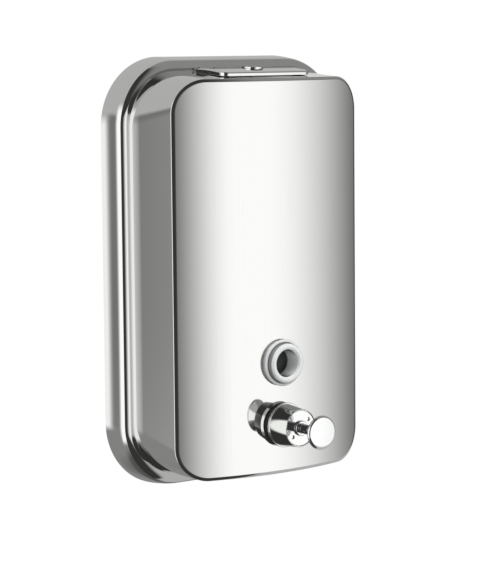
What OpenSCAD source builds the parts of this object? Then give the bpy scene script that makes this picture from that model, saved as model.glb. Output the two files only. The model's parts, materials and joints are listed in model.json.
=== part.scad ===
// Wall-mounted soap dispenser: a pressed steel tank with a push pump, a sight
// window and a locked filler lid, hung on a wall bracket.
// Millimetres. The wall is the plane y = 0, the front faces -Y and +Z is up.
// The origin is the middle of the rim on the wall, where the bracket's screws centre.

/* [Rim] */
// Width of the rim on the wall
rim_w = 144.4; // [132:0.2:170]
// Height of the rim on the wall
rim_h = 225; // [205:1:260]
// Corner radius of the rim
rim_r = 35.5; // [32:0.5:42]
// Depth from the wall to the rim's front flange
flange_d = 12.4; // [11.8:0.1:16]
// Lean of the rim's outer wall, in degrees
rim_lean = 13; // [8:1:18]
// Radius of the rim's outer edge
rim_edge_r = 2.5; // [2:0.1:3.2]
// Flat width of the flange
flange_flat = 0.95; // [0.6:0.05:3]
// Radius of the hollow fillet between the flange and the body
fillet_r = 2.5; // [1.5:0.1:3.5]

/* [Body] */
// Sheet thickness of the shell
shell_t = 1; // [0.7:0.1:1.4]
// Width by which the front is narrower than the rim
front_less_w = 25.7; // [19:0.1:40]
// Height by which the front is lower than the rim
front_less_h = 19.7; // [19:0.1:40]
// Corner radius of the front
front_r = 17.6; // [12:0.1:24]
// Height of the front's middle above the rim's middle
front_z = -1.15; // [-3:0.05:1]
// Depth from the wall to the front's side edges
front_d = 42.3; // [40:0.1:60]
// Radius of the front's bow, seen from above
front_curve_r = 152; // [135:1:260]
// Radius of the bend between the walls and the front
bend_r = 2.5; // [1.8:0.1:4]

/* [Back and bracket] */
// Thickness of the back panel
panel_t = 1; // [0.8:0.1:1.5]
// Thickness of the bracket's and the rail's sheet
hook_t = 1.5; // [1:0.1:1.8]
// Width of the bracket
bracket_w = 64; // [56:1:90]
// Height of the bracket's plate
bracket_h = 100; // [90:1:130]
// Distance between the screws, side to side
screw_gap_x = 44; // [36:1:48]
// Distance between the screws, top to bottom
screw_gap_z = 70; // [50:1:80]
// Radius of the screw holes
screw_hole_r = 2.5; // [2:0.1:3.2]
// Distance from the wall to the front of the bracket's lip
lip_d = 6; // [5.6:0.1:7]
// Height by which the lip and the hook overlap
hook_h = 10; // [7:0.5:14]
// Width of the rail
rail_w = 60; // [40:1:64]
// Height of the rail's foot on the back panel
rail_foot_h = 12; // [8:0.5:18]

/* [Filler and lid] */
// Length of the filler opening
mouth_l = 46; // [42:0.5:50]
// Width of the filler opening
mouth_w = 17; // [16.4:0.1:20]
// Corner radius of the filler opening
mouth_r = 4; // [3:0.1:6]
// Wall of the filler neck
neck_t = 1.2; // [0.8:0.1:1.5]
// Height of the neck above the top wall
neck_h = 1.5; // [1.2:0.1:2.5]
// Width of the neck's lip under the top wall
neck_lip = 3; // [2:0.1:4]
// Thickness of the neck's lip
neck_lip_t = 1.2; // [0.8:0.1:2]
// Length of the lid
lid_l = 56; // [54:0.5:64]
// Width of the lid
lid_w = 27; // [25:0.5:28]
// Corner radius of the lid
lid_r = 4; // [2:0.1:6]
// Sheet thickness of the lid
lid_t = 0.8; // [0.6:0.1:1]
// Thickness of the lid's gasket
lid_gasket_t = 0.8; // [0.5:0.1:1.5]
// Width of the lid's gasket
lid_gasket_w = 2.6; // [1.8:0.1:3]
// Radius of the hinge knuckles
knuckle_r = 1.3; // [1.1:0.05:1.5]
// Radius of the hinge pin
pin_r = 0.6; // [0.5:0.05:0.7]
// Length of each fixed knuckle
knuckle_l = 9; // [6:0.5:10]
// Length of the lid's own knuckle
lid_knuckle_l = 28; // [20:0.5:32]
// Distance from the end of the top wall to the hinge pin
hinge_setback = 3.5; // [3.4:0.1:6]

/* [Lock] */
// Radius of the lock's plug
plug_r = 3; // [2.6:0.1:3.2]
// Radius of the lock's barrel
lock_r = 4.4; // [4.2:0.1:4.6]
// Radius of the lock's flange
lock_flange_r = 5.6; // [5.4:0.1:7]
// Thickness of the lock's flange
lock_flange_t = 0.8; // [0.5:0.1:1.2]
// Corner radius of the lock's nut
lock_nut_r = 6; // [5.6:0.1:6.2]
// Thickness of the lock's nut
lock_nut_t = 1.8; // [1.2:0.1:2.2]
// Length of the key slot
key_l = 4.2; // [3:0.1:4.6]
// Width of the key slot
key_w = 0.9; // [0.6:0.1:1.4]
// Depth of the key slot
key_d = 3; // [1.5:0.1:3.5]
// Reach of the cam from the plug's axis
cam_reach = 12.5; // [11.6:0.1:14]
// Thickness of the cam
cam_t = 1.2; // [0.8:0.1:2]
// Width of the cam
cam_w = 7.6; // [6.4:0.1:9]
// Side of the square tang that turns the cam
tang_w = 2.6; // [2:0.1:3.2]
// Radius of the cam screw
cam_screw_r = 0.8; // [0.5:0.1:0.9]
// Radius of the cam screw's head
cam_head_r = 2.6; // [2.4:0.1:3.2]
// Thickness of the cam screw's head
cam_head_t = 1; // [0.8:0.1:1.6]

/* [Window] */
// Height of the window's axis above the pump's axis
window_rise = 32.4; // [30:0.1:50]
// Radius of the window's flange
window_flange_r = 12.2; // [11:0.1:13]
// Thickness of the window's flange
window_flange_t = 1.4; // [0.8:0.1:2]
// Thickness of the window's gasket at its middle
window_gasket_t = 0.8; // [0.5:0.1:1.5]
// Outer radius of the window's raised ring
window_ring_r = 10.4; // [9.8:0.1:10.8]
// Height of the middle of the raised ring over the flange
window_ring_up = 1.9; // [0.5:0.1:3]
// Inner radius of the window's well
window_well_r = 7; // [6:0.1:7.4]
// Radius of the window's threaded tail
window_tail_r = 8.5; // [8.2:0.1:9]
// Length of the tail behind the front
window_tail_l = 9; // [8.4:0.1:14]
// Depth of the well behind the front
window_well_d = 5; // [2:0.1:5.5]
// Thickness of the window's pane
pane_t = 1.5; // [1:0.1:2.5]
// Corner radius of the window's nut
window_nut_r = 12.5; // [11:0.1:13.5]
// Thickness of the window's nut
window_nut_t = 5; // [3:0.1:6]

/* [Pump] */
// Height of the pump's axis above the lower edge of the front
pump_up = 26; // [22:0.5:40]
// Outer radius of the pump's gasket
pump_gasket_r = 12.2; // [11.6:0.1:13.5]
// Thickness of the pump's gasket at its middle
pump_gasket_t = 1.2; // [0.8:0.1:2]
// Radius of the collar's flange
collar_flange_r = 11.9; // [11.4:0.1:13]
// Thickness of the collar's flange
collar_flange_t = 2.2; // [1.5:0.1:3]
// Radius of the collar behind
collar_r = 10.8; // [10.4:0.1:11.2]
// Radius of the collar at its face
collar_tip_r = 10; // [9.8:0.1:10.4]
// Length of the collar
collar_l = 14.8; // [12:0.1:18]
// Radius of the face cap
face_r = 9.1; // [8.6:0.1:9.3]
// Thickness of the face cap
face_t = 1.4; // [1.2:0.1:2]
// Depth of the face cap behind the collar's face
face_recess = 0.5; // [0.3:0.1:1]
// Radius of the neck bush
bush_r = 3.9; // [3.4:0.1:5]
// Length of the neck bush in front of the face cap
bush_l = 1.4; // [0.8:0.1:2]
// Length of the face cap's spigot inside the barrel
spigot_l = 3; // [2.8:0.1:4]
// Radius of the two spanner holes
spanner_r = 1.1; // [0.8:0.1:1.3]
// Distance from the axis to each spanner hole
spanner_at = 6.5; // [6:0.1:7]
// Angle of the spanner holes from level, in degrees
spanner_angle = 40; // [0:5:90]
// Outer radius of the barrel
barrel_r = 8; // [7.7:0.1:8.3]
// Radius of the barrel's bore
bore_r = 6.5; // [6:0.1:6.8]
// Corner radius of the pump's nut
pump_nut_r = 13; // [11.5:0.1:14]
// Thickness of the pump's nut
pump_nut_t = 6; // [4:0.1:8]
// Outer radius of the pump's inner washer
washer_r = 12.5; // [11.5:0.1:13.5]
// Thickness of the pump's inner washer
washer_t = 1.2; // [0.8:0.1:2]
// Radius of the wiper seal
wiper_r = 4.2; // [3.8:0.1:4.6]
// Thickness of the wiper seal
wiper_t = 2; // [1.5:0.1:2.4]

/* [Plunger] */
// Travel of the knob
stroke = 8; // [5:0.5:9]
// Radius of the stem
rod_r = 2.5; // [2.3:0.1:2.9]
// Radius of the channel in the stem
rod_bore_r = 1.1; // [1:0.05:1.2]
// Distance from the collar's face to the knob's face
knob_reach = 18; // [16.5:0.1:22]
// Radius of the knob
knob_r = 8.7; // [7.6:0.1:11]
// Radius of the knob's neck
knob_neck_r = 3.6; // [3.4:0.1:5]
// Radius of the knob's rounded edge
knob_edge_r = 1.2; // [0.8:0.1:1.6]
// Rise of the knob's crown
knob_crown = 0.8; // [0.3:0.1:1.4]
// Depth of metal in front of the stem's end
knob_cover = 3; // [2.4:0.1:3.6]
// Radius of the soap outlet under the knob
outlet_r = 0.8; // [0.6:0.05:0.85]
// Length of the piston
piston_l = 8; // [7.6:0.1:10]
// Width of the piston's seal
seal_w = 3; // [2:0.1:3.4]
// Depth of the piston's seal groove
seal_d = 1.4; // [1:0.1:1.8]
// Radius of the outlet ball
outlet_ball_r = 1.4; // [1.3:0.05:1.5]
// Travel of the outlet ball
outlet_lift = 1.2; // [0.8:0.1:1.4]
// Radius of the spring's wire
wire_r = 0.5; // [0.35:0.05:0.6]
// Radius of the spring, to the middle of the wire
spring_r = 4.8; // [4.2:0.1:5.2]
// Number of turns of the spring
spring_turns = 9; // [6:1:10]

/* [Inlet] */
// Distance from the back panel to the inlet elbow
elbow_gap = 6; // [4:0.5:10]
// Outer radius of the elbow's cup
elbow_r = 9.8; // [9.6:0.1:11]
// Thickness of the elbow's end wall
elbow_t = 2; // [1.5:0.1:3]
// Length of the barrel inside the elbow
socket_l = 6; // [4:0.5:8]
// Outer radius of the elbow's spout
spout_r = 4.5; // [4.2:0.1:5]
// Radius of the inlet ball
inlet_ball_r = 2; // [1.9:0.05:2.2]
// Travel of the inlet ball
inlet_lift = 1.5; // [1:0.1:2]
// Outer radius of the pick-up tube
tube_r = 3; // [2.8:0.1:3.4]
// Radius of the pick-up tube's bore
tube_bore_r = 1.4; // [1.2:0.1:1.6]
// Distance from the tank floor to the pick-up tube
pickup_gap = 2; // [1:0.1:4]

/* [Clearances] */
// Gap between faces that are seated on each other
seat_gap = 0.05; // [0.03:0.01:0.08]
// Radial gap between pieces that slide or turn in each other
run_gap = 0.05; // [0.03:0.01:0.09]
// Radial gap between a fixed piece and its hole
fix_gap = 0.1; // [0.05:0.01:0.2]
// Gap between the curved top wall and what is welded to it
wall_gap = 0.3; // [0.25:0.01:0.4]
// Gap between pieces that pass each other
pass_gap = 0.3; // [0.25:0.05:0.4]
// Small chamfer on turned pieces
edge_c = 0.5; // [0.2:0.1:0.7]

/* [Hidden] */
$fn = 64;
corner_count = 7;
top_count = 16;
edge_count = 4;
fillet_count = 5;
bend_count = 5;
round_count = 8;
wire_count = 6;
turn_count = 10;

// Section of the rim: middles of its edge arc and of its fillet, as inset and depth
edge_mid_d = flange_d - rim_edge_r;
edge_mid_i = (edge_mid_d + rim_edge_r * sin(rim_lean)) * tan(rim_lean) + rim_edge_r * cos(rim_lean);
fillet_mid_i = edge_mid_i + flange_flat;
fillet_mid_d = flange_d + fillet_r;
base_i = fillet_mid_i + fillet_r;
base_d = fillet_mid_d;

// Front, from the size of the rim
front_w = rim_w - front_less_w;
front_h = rim_h - front_less_h;

// Depth that the bow adds to the front at a distance x from the middle
function bow(x) = sqrt(pow(front_curve_r, 2) - x * x) - sqrt(pow(front_curve_r, 2) - pow(front_w / 2, 2));
// Depth by which the bow falls away at a distance r from the middle
function fall(r) = front_curve_r - sqrt(pow(front_curve_r, 2) - r * r);
apex_d = front_d + bend_r + bow(0);

// The top and bottom walls at the middle of the tank
base_z = rim_h / 2 - base_i;
front_top_z = front_z + front_h / 2;
front_low_z = front_z - front_h / 2;
wall_run = front_d + bow(0) - base_d;
top_slope = atan((base_z - front_top_z) / wall_run);
function top_wall_z(d) = base_z + (front_top_z - base_z) * (d - base_d) / wall_run;
function low_wall_z(d) = -base_z + (front_low_z + base_z) * (d - base_d) / wall_run;

// Back panel, bracket and rail, as depths from the wall
panel_front = flange_d - shell_t - seat_gap;
panel_back = panel_front - panel_t;
lip_top = bracket_h / 2 + hook_h;
rail_front = panel_back - seat_gap;
rail_lip_front = lip_d - hook_t - pass_gap;

// Lid, along and across the top wall from the middle of the lid
hinge_y = lid_w / 2 + knuckle_r + pass_gap;
hinge_z = knuckle_r + wall_gap;
lid_d = base_d + hinge_setback + hinge_y;
lid_gasket_z = neck_h + seat_gap;
lid_under = lid_gasket_z + lid_gasket_t + seat_gap;
lid_top = lid_under + lid_t;
neck_low = -(shell_t + wall_gap + neck_lip_t);
cam_top = neck_low - pass_gap;
lock_top = lid_top + seat_gap + lock_flange_t;
plug_head_t = lock_flange_t;
plug_head_r = (plug_r + lock_r) / 2;
knuckle_start = lid_knuckle_l / 2 + pass_gap;

// Window, as distances in front of the front's middle
window_z = front_low_z + pump_up + window_rise;
window_back = window_gasket_t + seat_gap;
window_top = window_back + window_flange_t;
ring_mid_r = (window_ring_r + window_well_r) / 2;
ring_round_r = (window_ring_r - window_well_r) / 2;
window_hole_r = window_tail_r + fix_gap;
window_nut_front = -(shell_t + fall(window_nut_r) + 2 * seat_gap);

// Pump, as distances in front of the front's middle
pump_z = front_low_z + pump_up;
pump_hole_r = barrel_r + fix_gap;
collar_back = pump_gasket_t + seat_gap;
collar_face = collar_back + collar_l;
face_front = collar_face - face_recess;
face_back = face_front - face_t;
barrel_front = face_back - seat_gap;
spigot_back = face_back - spigot_l;
bush_front = face_front + bush_l;
washer_front = -(shell_t + fall(washer_r) + 2 * seat_gap);
nut_front = washer_front - washer_t - seat_gap;
elbow_back = panel_front + elbow_gap - apex_d;
chamber_back = elbow_back + elbow_t;
inlet_room = 2 * tube_r + 2 * fix_gap;
barrel_back = chamber_back + inlet_room;
inlet_z = chamber_back + inlet_room / 2;

// Plunger, as distances in front of the front's middle
piston_front = spigot_back - seat_gap;
piston_back = piston_front - piston_l;
piston_r = bore_r - run_gap;
outlet_seat_r = outlet_ball_r * 0.7;
outlet_seat_z = piston_back + outlet_ball_r;
outlet_ball_z = outlet_seat_z + seat_gap + sqrt(pow(outlet_ball_r, 2) - pow(outlet_seat_r, 2));
rod_back = outlet_ball_z + outlet_lift + outlet_ball_r;
knob_face = collar_face + knob_reach;
knob_back = bush_front + stroke + 2 * pass_gap;
knob_shoulder = knob_face - knob_crown - 2 * knob_edge_r;
rod_front = knob_face - knob_cover;
outlet_z = knob_back + 2 * outlet_r + edge_c;
wiper_front = spigot_back + wiper_t + seat_gap;

// Spring, from the elbow's end wall to the piston
spring_back = chamber_back + seat_gap + wire_r;
spring_front = piston_back - seat_gap - wire_r;
spring_pitch = (spring_front - spring_back) / spring_turns;

// Inlet valve, as heights over the pump's axis
cage_r = inlet_ball_r + 2 * pass_gap;
cage_top = -(bore_r + elbow_t);
ball_sink = sqrt(pow(inlet_ball_r, 2) - pow(tube_bore_r, 2));
inlet_ball_y = cage_top - 2 * seat_gap - ball_sink - inlet_lift;
tube_top = inlet_ball_y - seat_gap - ball_sink;
spout_low = tube_top - socket_l;
tube_low = low_wall_z(apex_d + inlet_z) + shell_t + pickup_gap - pump_z;

// Frame on the front: origin on the bow's middle at height z, +z out of the front, +y up
module at_front(z) {
    translate([0, -apex_d, z]) rotate([90, 0, 0]) children();
}

// Frame on the top wall: origin under the middle of the lid, +z out of the wall, +y to the back
module at_lid() {
    translate([0, -lid_d, top_wall_z(lid_d)]) rotate([top_slope, 0, 0]) children();
}

// Box between two corners
module box(low, high) {
    translate(low) cube(high - low);
}

// Outline of a rectangle of length l and width w with round corners
function round_outline(l, w, r) = [
    for (c = [0:3], k = [0:round_count])
        let (a = 90 * (c + k / round_count))
        [((c == 0 || c == 3) ? 1 : -1) * (l / 2 - r) + r * cos(a),
         (c < 2 ? 1 : -1) * (w / 2 - r) + r * sin(a)]
];

// Plate with round corners, from height low to height high
module plate(l, w, r, low, high) {
    translate([0, 0, low]) linear_extrude(high - low) polygon(round_outline(l, w, r));
}

// Tube between two heights
module tube(outer_r, inner_r, low, high) {
    translate([0, 0, low]) difference() {
        cylinder(r = outer_r, h = high - low);
        translate([0, 0, -1]) cylinder(r = inner_r, h = high - low + 2);
    }
}

// Everything behind the bowed front, in the front's own frame
module behind_front(reach) {
    translate([0, 0, -front_curve_r]) rotate([90, 0, 0])
        cylinder(r = front_curve_r + seat_gap, h = 4 * reach, center = true, $fn = 256);
}

// Gasket whose back follows the bow of the front
module bowed_gasket(outer_r, inner_r, t) {
    difference() {
        tube(outer_r, inner_r, -2 * fall(outer_r), t);
        behind_front(outer_r);
    }
}

// Stations of the shell: half width, half height, corner radius, middle height, depth, share of bow
function rim_station(i, d) = [rim_w / 2 - i, rim_h / 2 - i, rim_r - i, 0, d, 0];
function front_station(i, d) = [front_w / 2 - i, front_h / 2 - i, front_r - i, front_z, d, 1];

// Stations of one skin of the sheet, t inside the outer skin, from the wall to the front
function skin(t) = concat(
    [rim_station(t / cos(rim_lean), 0)],
    [for (k = [0:edge_count])
        let (a = rim_lean + (90 - rim_lean) * k / edge_count)
        rim_station(edge_mid_i - (rim_edge_r - t) * cos(a), edge_mid_d + (rim_edge_r - t) * sin(a))],
    [for (k = [0:fillet_count])
        let (a = 90 * k / fillet_count)
        rim_station(fillet_mid_i + (fillet_r + t) * sin(a), fillet_mid_d - (fillet_r + t) * cos(a))],
    [for (k = [0:bend_count])
        let (a = 90 * k / bend_count)
        front_station(bend_r - (bend_r - t) * cos(a), front_d + (bend_r - t) * sin(a))]
);

// Ring of points at a station: a rectangle with round corners, pushed forward by the bow
function ring(s) = [
    for (c = [0:3], k = [0:corner_count + (c % 2 == 0 ? top_count - 1 : 0)])
        let (
            mid_x = ((c == 0 || c == 3) ? 1 : -1) * (s[0] - s[2]),
            mid_z = (c < 2 ? 1 : -1) * (s[1] - s[2]),
            a = 90 * (c + min(k, corner_count) / corner_count),
            along = max(0, k - corner_count) / top_count,
            x = mid_x * (1 - 2 * along) + s[2] * cos(a)
        )
        [x, -(s[4] + s[5] * bow(x)), mid_z + s[2] * sin(a) + s[3]]
];
ring_n = 4 * (corner_count + 1) + 2 * (top_count - 1);

// Two triangles for each step round the band between rings a and b
function band(a, b) = [
    for (k = [0:ring_n - 1])
        let (p = a * ring_n + k, q = b * ring_n + k, turn = k == ring_n - 1 ? 1 - ring_n : 1)
        each [[p, q + turn, p + turn], [p, q, q + turn]]
];

// Upright strips that close the ring that starts at point first
function strips(first, flip) = [
    for (k = [0:ring_n / 2 - 2])
        let (a = first + k, b = first + k + 1, c = first + ring_n - 2 - k, d = first + ring_n - 1 - k)
        each flip ? [[a, b, c], [a, c, d]] : [[a, c, b], [a, d, c]]
];

// Helix of the spring: point k of its middle line, and a ring of the wire round it
function coil_turn(k) = 360 * k / turn_count;
function coil_point(k) = [
    spring_r * cos(coil_turn(k)),
    spring_r * sin(coil_turn(k)),
    spring_back + spring_pitch * k / turn_count
];
function wire_ring(k) = [
    for (j = [0:wire_count - 1])
        let (a = 360 * j / wire_count, r = spring_r + wire_r * cos(a))
        [r * cos(coil_turn(k)), r * sin(coil_turn(k)), coil_point(k)[2] + wire_r * sin(a)]
];
coil_n = spring_turns * turn_count;
echo(spring_gap = norm(coil_point(turn_count) - coil_point(0)) - 2 * wire_r);

// Plate screwed to the wall, with a lip that points up
module wall_bracket() {
    half = bracket_w / 2;
    top = bracket_h / 2;
    color("lightsteelblue") difference() {
        union() {
            box([-half, -hook_t, -top], [half, 0, top]);
            box([-half, -lip_d, top - hook_t], [half, 0, top]);
            box([-half, -lip_d, top - hook_t], [half, hook_t - lip_d, lip_top]);
        }
        for (x = [-1, 1], z = [-1, 1])
            translate([x * screw_gap_x / 2, hook_t, z * screw_gap_z / 2])
                rotate([90, 0, 0]) cylinder(r = screw_hole_r, h = 3 * hook_t);
    }
}

// Rail on the back panel, with a hook that hangs over the bracket's lip
module hanger_rail() {
    half = rail_w / 2;
    low = lip_top + seat_gap;
    color("silver") union() {
        box([-half, -rail_front, low], [half, hook_t - rail_front, low + rail_foot_h]);
        box([-half, -rail_front, low], [half, hook_t - rail_lip_front, low + hook_t]);
        box([-half, -rail_lip_front, lip_top - hook_h + pass_gap],
            [half, hook_t - rail_lip_front, low + hook_t]);
    }
}

// Flat plate that closes the tank behind the flange
module back_panel() {
    color("silver") translate([0, -panel_back, 0]) rotate([90, 0, 0])
        plate(rim_w - 2 * edge_mid_i, rim_h - 2 * edge_mid_i, rim_r - edge_mid_i, 0, panel_t);
}

// Pressed tank front: rim, flange, drafted walls and bowed front in one sheet
module front_shell() {
    inner = skin(shell_t);
    stations = concat([for (k = [len(inner) - 1:-1:0]) inner[k]], skin(0));
    count = len(stations);
    color("gainsboro") difference() {
        polyhedron(
            points = [for (s = stations) each ring(s)],
            faces = concat(
                [for (k = [0:count - 2]) each band(k, k + 1)],
                strips(0, true),
                strips((count - 1) * ring_n, false)
            ),
            convexity = 6
        );
        at_front(pump_z) translate([0, 0, -4 * shell_t]) cylinder(r = pump_hole_r, h = 6 * shell_t);
        at_front(window_z) translate([0, 0, -4 * shell_t]) cylinder(r = window_hole_r, h = 6 * shell_t);
        at_lid() plate(mouth_l, mouth_w, mouth_r, -3 * shell_t, 2 * shell_t);
    }
}

// Collar in the filler opening, with a lip under the top wall
module filler_neck() {
    l = mouth_l - 2 * fix_gap;
    w = mouth_w - 2 * fix_gap;
    r = mouth_r - fix_gap;
    color("silver") at_lid() difference() {
        union() {
            plate(l, w, r, neck_low, neck_h);
            plate(l + 2 * neck_lip, w + 2 * neck_lip, r + neck_lip, neck_low, neck_low + neck_lip_t);
        }
        plate(l - 2 * neck_t, w - 2 * neck_t, r - neck_t, neck_low - 1, neck_h + 1);
    }
}

// Two fixed knuckles on a strip behind the lid
module hinge_base() {
    strip_y = hinge_y + knuckle_r + pass_gap;
    strip_end_y = hinge_y + hinge_setback - seat_gap;
    end_x = knuckle_start + knuckle_l;
    foot_h = hinge_z - wall_gap / 2;
    color("silver") at_lid() difference() {
        union() {
            box([-end_x, strip_y, wall_gap / 2], [end_x, strip_end_y, wall_gap + lid_t]);
            for (x = [-end_x, knuckle_start]) {
                translate([x, hinge_y, hinge_z]) rotate([0, 90, 0]) cylinder(r = knuckle_r, h = knuckle_l);
                box([x, hinge_y - knuckle_r, wall_gap / 2], [x + knuckle_l, strip_y + lid_t, foot_h]);
            }
        }
        translate([-lid_l, hinge_y, hinge_z]) rotate([0, 90, 0])
            cylinder(r = pin_r + seat_gap / 2, h = 2 * lid_l);
    }
}

// Pin through all three knuckles
module hinge_pin() {
    reach = knuckle_start + knuckle_l;
    color("dimgray") at_lid() translate([-reach, hinge_y, hinge_z]) rotate([0, 90, 0])
        cylinder(r = pin_r, h = 2 * reach);
}

// Shallow lid with a skirt and its own knuckle
module filler_lid() {
    half = lid_knuckle_l / 2;
    color("gainsboro") at_lid() difference() {
        union() {
            difference() {
                plate(lid_l, lid_w, lid_r, wall_gap, lid_top);
                plate(lid_l - 2 * lid_t, lid_w - 2 * lid_t, lid_r - lid_t, 0, lid_under);
                translate([0, 0, lid_under - 1]) cylinder(r = lock_r + fix_gap, h = lid_t + 2);
            }
            translate([-half, hinge_y, hinge_z]) rotate([0, 90, 0]) cylinder(r = knuckle_r, h = 2 * half);
            box([-half, lid_w / 2 - lid_t, hinge_z], [half, hinge_y, hinge_z + knuckle_r]);
        }
        translate([-lid_l, hinge_y, hinge_z]) rotate([0, 90, 0])
            cylinder(r = pin_r + run_gap, h = 2 * lid_l);
    }
}

// Flat seal under the lid, over the top of the neck
module lid_gasket() {
    over = (lid_gasket_w - neck_t) / 2 - fix_gap;
    l = mouth_l + 2 * over;
    w = mouth_w + 2 * over;
    r = mouth_r + over;
    top = lid_gasket_z + lid_gasket_t;
    color("dimgray") at_lid() difference() {
        plate(l, w, r, lid_gasket_z, top);
        plate(l - 2 * lid_gasket_w, w - 2 * lid_gasket_w, r - lid_gasket_w, lid_gasket_z - 1, top + 1);
    }
}

// Threaded lock body with a flange on the lid
module lock_barrel() {
    flange_low = lid_top + seat_gap;
    low = cam_top + pass_gap;
    color("silver") at_lid() difference() {
        union() {
            translate([0, 0, low]) cylinder(r = lock_r, h = flange_low - low);
            translate([0, 0, flange_low]) cylinder(r = lock_flange_r, h = lock_flange_t);
        }
        translate([0, 0, low - 1]) cylinder(r = plug_r + run_gap, h = lock_top - low + 2);
        translate([0, 0, lock_top - plug_head_t - seat_gap])
            cylinder(r = plug_head_r + run_gap, h = lock_flange_t + 1);
    }
}

// Hexagon nut under the lid
module lock_nut() {
    color("darkgray") at_lid() translate([0, 0, lid_under - seat_gap - lock_nut_t]) difference() {
        cylinder(r = lock_nut_r, h = lock_nut_t, $fn = 6);
        translate([0, 0, -1]) cylinder(r = lock_r + seat_gap, h = lock_nut_t + 2);
    }
}

// Turning plug with a key slot above and a square tang below
module lock_plug() {
    head_low = lock_top - plug_head_t;
    low = cam_top + seat_gap;
    tang_low = cam_top - cam_t + seat_gap;
    color("darkgray") at_lid() difference() {
        union() {
            translate([0, 0, low]) cylinder(r = plug_r, h = lock_top - low);
            translate([0, 0, head_low]) cylinder(r = plug_head_r, h = plug_head_t);
            box([-tang_w / 2, -tang_w / 2, tang_low], [tang_w / 2, tang_w / 2, low + edge_c]);
        }
        box([-key_l / 2, -key_w / 2, lock_top - key_d], [key_l / 2, key_w / 2, lock_top + 1]);
        translate([0, 0, tang_low - 1]) cylinder(r = cam_screw_r + seat_gap, h = cam_t + 2);
    }
}

// Bar that turns under the neck's lip
module lock_cam() {
    l = cam_reach + cam_w / 2;
    hole = tang_w / 2 + fix_gap;
    color("darkgray") at_lid() difference() {
        translate([(cam_reach - cam_w / 2) / 2, 0, 0])
            plate(l, cam_w, cam_w / 2 - edge_c / 2, cam_top - cam_t, cam_top);
        box([-hole, -hole, cam_top - cam_t - 1], [hole, hole, cam_top + 1]);
    }
}

// Screw that holds the cam on the plug
module cam_screw() {
    head_top = cam_top - cam_t - seat_gap;
    color("dimgray") at_lid() union() {
        translate([0, 0, head_top - cam_head_t]) cylinder(r = cam_head_r, h = cam_head_t);
        translate([0, 0, head_top - edge_c]) cylinder(r = cam_screw_r, h = cam_t + edge_c);
    }
}

// Clear window: flange, raised round ring, well with a pane and a threaded tail
module sight_window() {
    round_z = window_top + window_ring_up;
    color("aliceblue", 0.5) at_front(window_z) rotate_extrude() polygon(concat(
        [[0, -window_well_d], [window_well_r, -window_well_d]],
        [for (k = [0:round_count])
            let (a = 180 - 180 * k / round_count)
            [ring_mid_r + ring_round_r * cos(a), round_z + ring_round_r * sin(a)]],
        [[window_ring_r, window_top],
         [window_flange_r - edge_c, window_top],
         [window_flange_r, window_top - edge_c],
         [window_flange_r, window_back],
         [window_tail_r, window_back],
         [window_tail_r, -window_tail_l],
         [window_well_r, -window_tail_l],
         [window_well_r, -window_well_d - pane_t],
         [0, -window_well_d - pane_t]]
    ));
}

// Soft ring between the window's flange and the front
module window_gasket() {
    color("whitesmoke") at_front(window_z)
        bowed_gasket(window_flange_r - edge_c, window_tail_r + fix_gap, window_gasket_t);
}

// Hexagon nut on the window's tail
module window_nut() {
    color("whitesmoke") at_front(window_z) translate([0, 0, window_nut_front - window_nut_t]) difference() {
        cylinder(r = window_nut_r, h = window_nut_t, $fn = 6);
        translate([0, 0, -1]) cylinder(r = window_tail_r + seat_gap, h = window_nut_t + 2);
    }
}

// Dark soft ring between the collar's flange and the front
module pump_gasket() {
    color("dimgray") at_front(pump_z) bowed_gasket(pump_gasket_r, barrel_r + fix_gap, pump_gasket_t);
}

// Chrome collar: flange, slightly tapered body and a rim round the face cap
module pump_collar() {
    hole_r = barrel_r + fix_gap;
    flange_top = collar_back + collar_flange_t;
    color("gainsboro") at_front(pump_z) rotate_extrude() polygon([
        [hole_r, collar_back],
        [collar_flange_r, collar_back],
        [collar_flange_r, flange_top - edge_c],
        [collar_flange_r - edge_c, flange_top],
        [collar_r, flange_top],
        [collar_tip_r, collar_face - edge_c],
        [collar_tip_r - edge_c / 2, collar_face],
        [face_r + fix_gap, collar_face],
        [face_r + fix_gap, face_back],
        [hole_r, face_back]
    ]);
}

// Cap in the collar's face: disc with spanner holes, neck bush and a spigot in the barrel
module pump_face_cap() {
    color("gainsboro") at_front(pump_z) difference() {
        rotate_extrude() polygon([
            [rod_r + run_gap, spigot_back],
            [bore_r - fix_gap, spigot_back],
            [bore_r - fix_gap, face_back],
            [face_r, face_back],
            [face_r, face_front],
            [bush_r, face_front],
            [bush_r, bush_front - edge_c],
            [bush_r - edge_c, bush_front],
            [rod_r + run_gap, bush_front]
        ]);
        translate([0, 0, spigot_back - 1]) cylinder(r = wiper_r + seat_gap, h = wiper_t + seat_gap + 1);
        for (side = [0, 180])
            rotate([0, 0, spanner_angle + side])
                translate([spanner_at, 0, face_front - face_t / 2])
                    cylinder(r = spanner_r, h = face_t);
    }
}

// Seal round the stem, in the spigot's pocket
module rod_wiper_seal() {
    color("black") at_front(pump_z) tube(wiper_r, rod_r + run_gap, spigot_back, wiper_front - seat_gap);
}

// Pump tube through the front
module pump_barrel() {
    color("white") at_front(pump_z) tube(barrel_r, bore_r, barrel_back + seat_gap, barrel_front);
}

// Washer between the front's inside and the nut
module pump_washer() {
    color("dimgray") at_front(pump_z)
        tube(washer_r, barrel_r + fix_gap, washer_front - washer_t, washer_front);
}

// Hexagon nut on the pump tube
module pump_lock_nut() {
    color("white") at_front(pump_z) translate([0, 0, nut_front - pump_nut_t]) difference() {
        cylinder(r = pump_nut_r, h = pump_nut_t, $fn = 6);
        translate([0, 0, -1]) cylinder(r = barrel_r + seat_gap, h = pump_nut_t + 2);
    }
}

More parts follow.
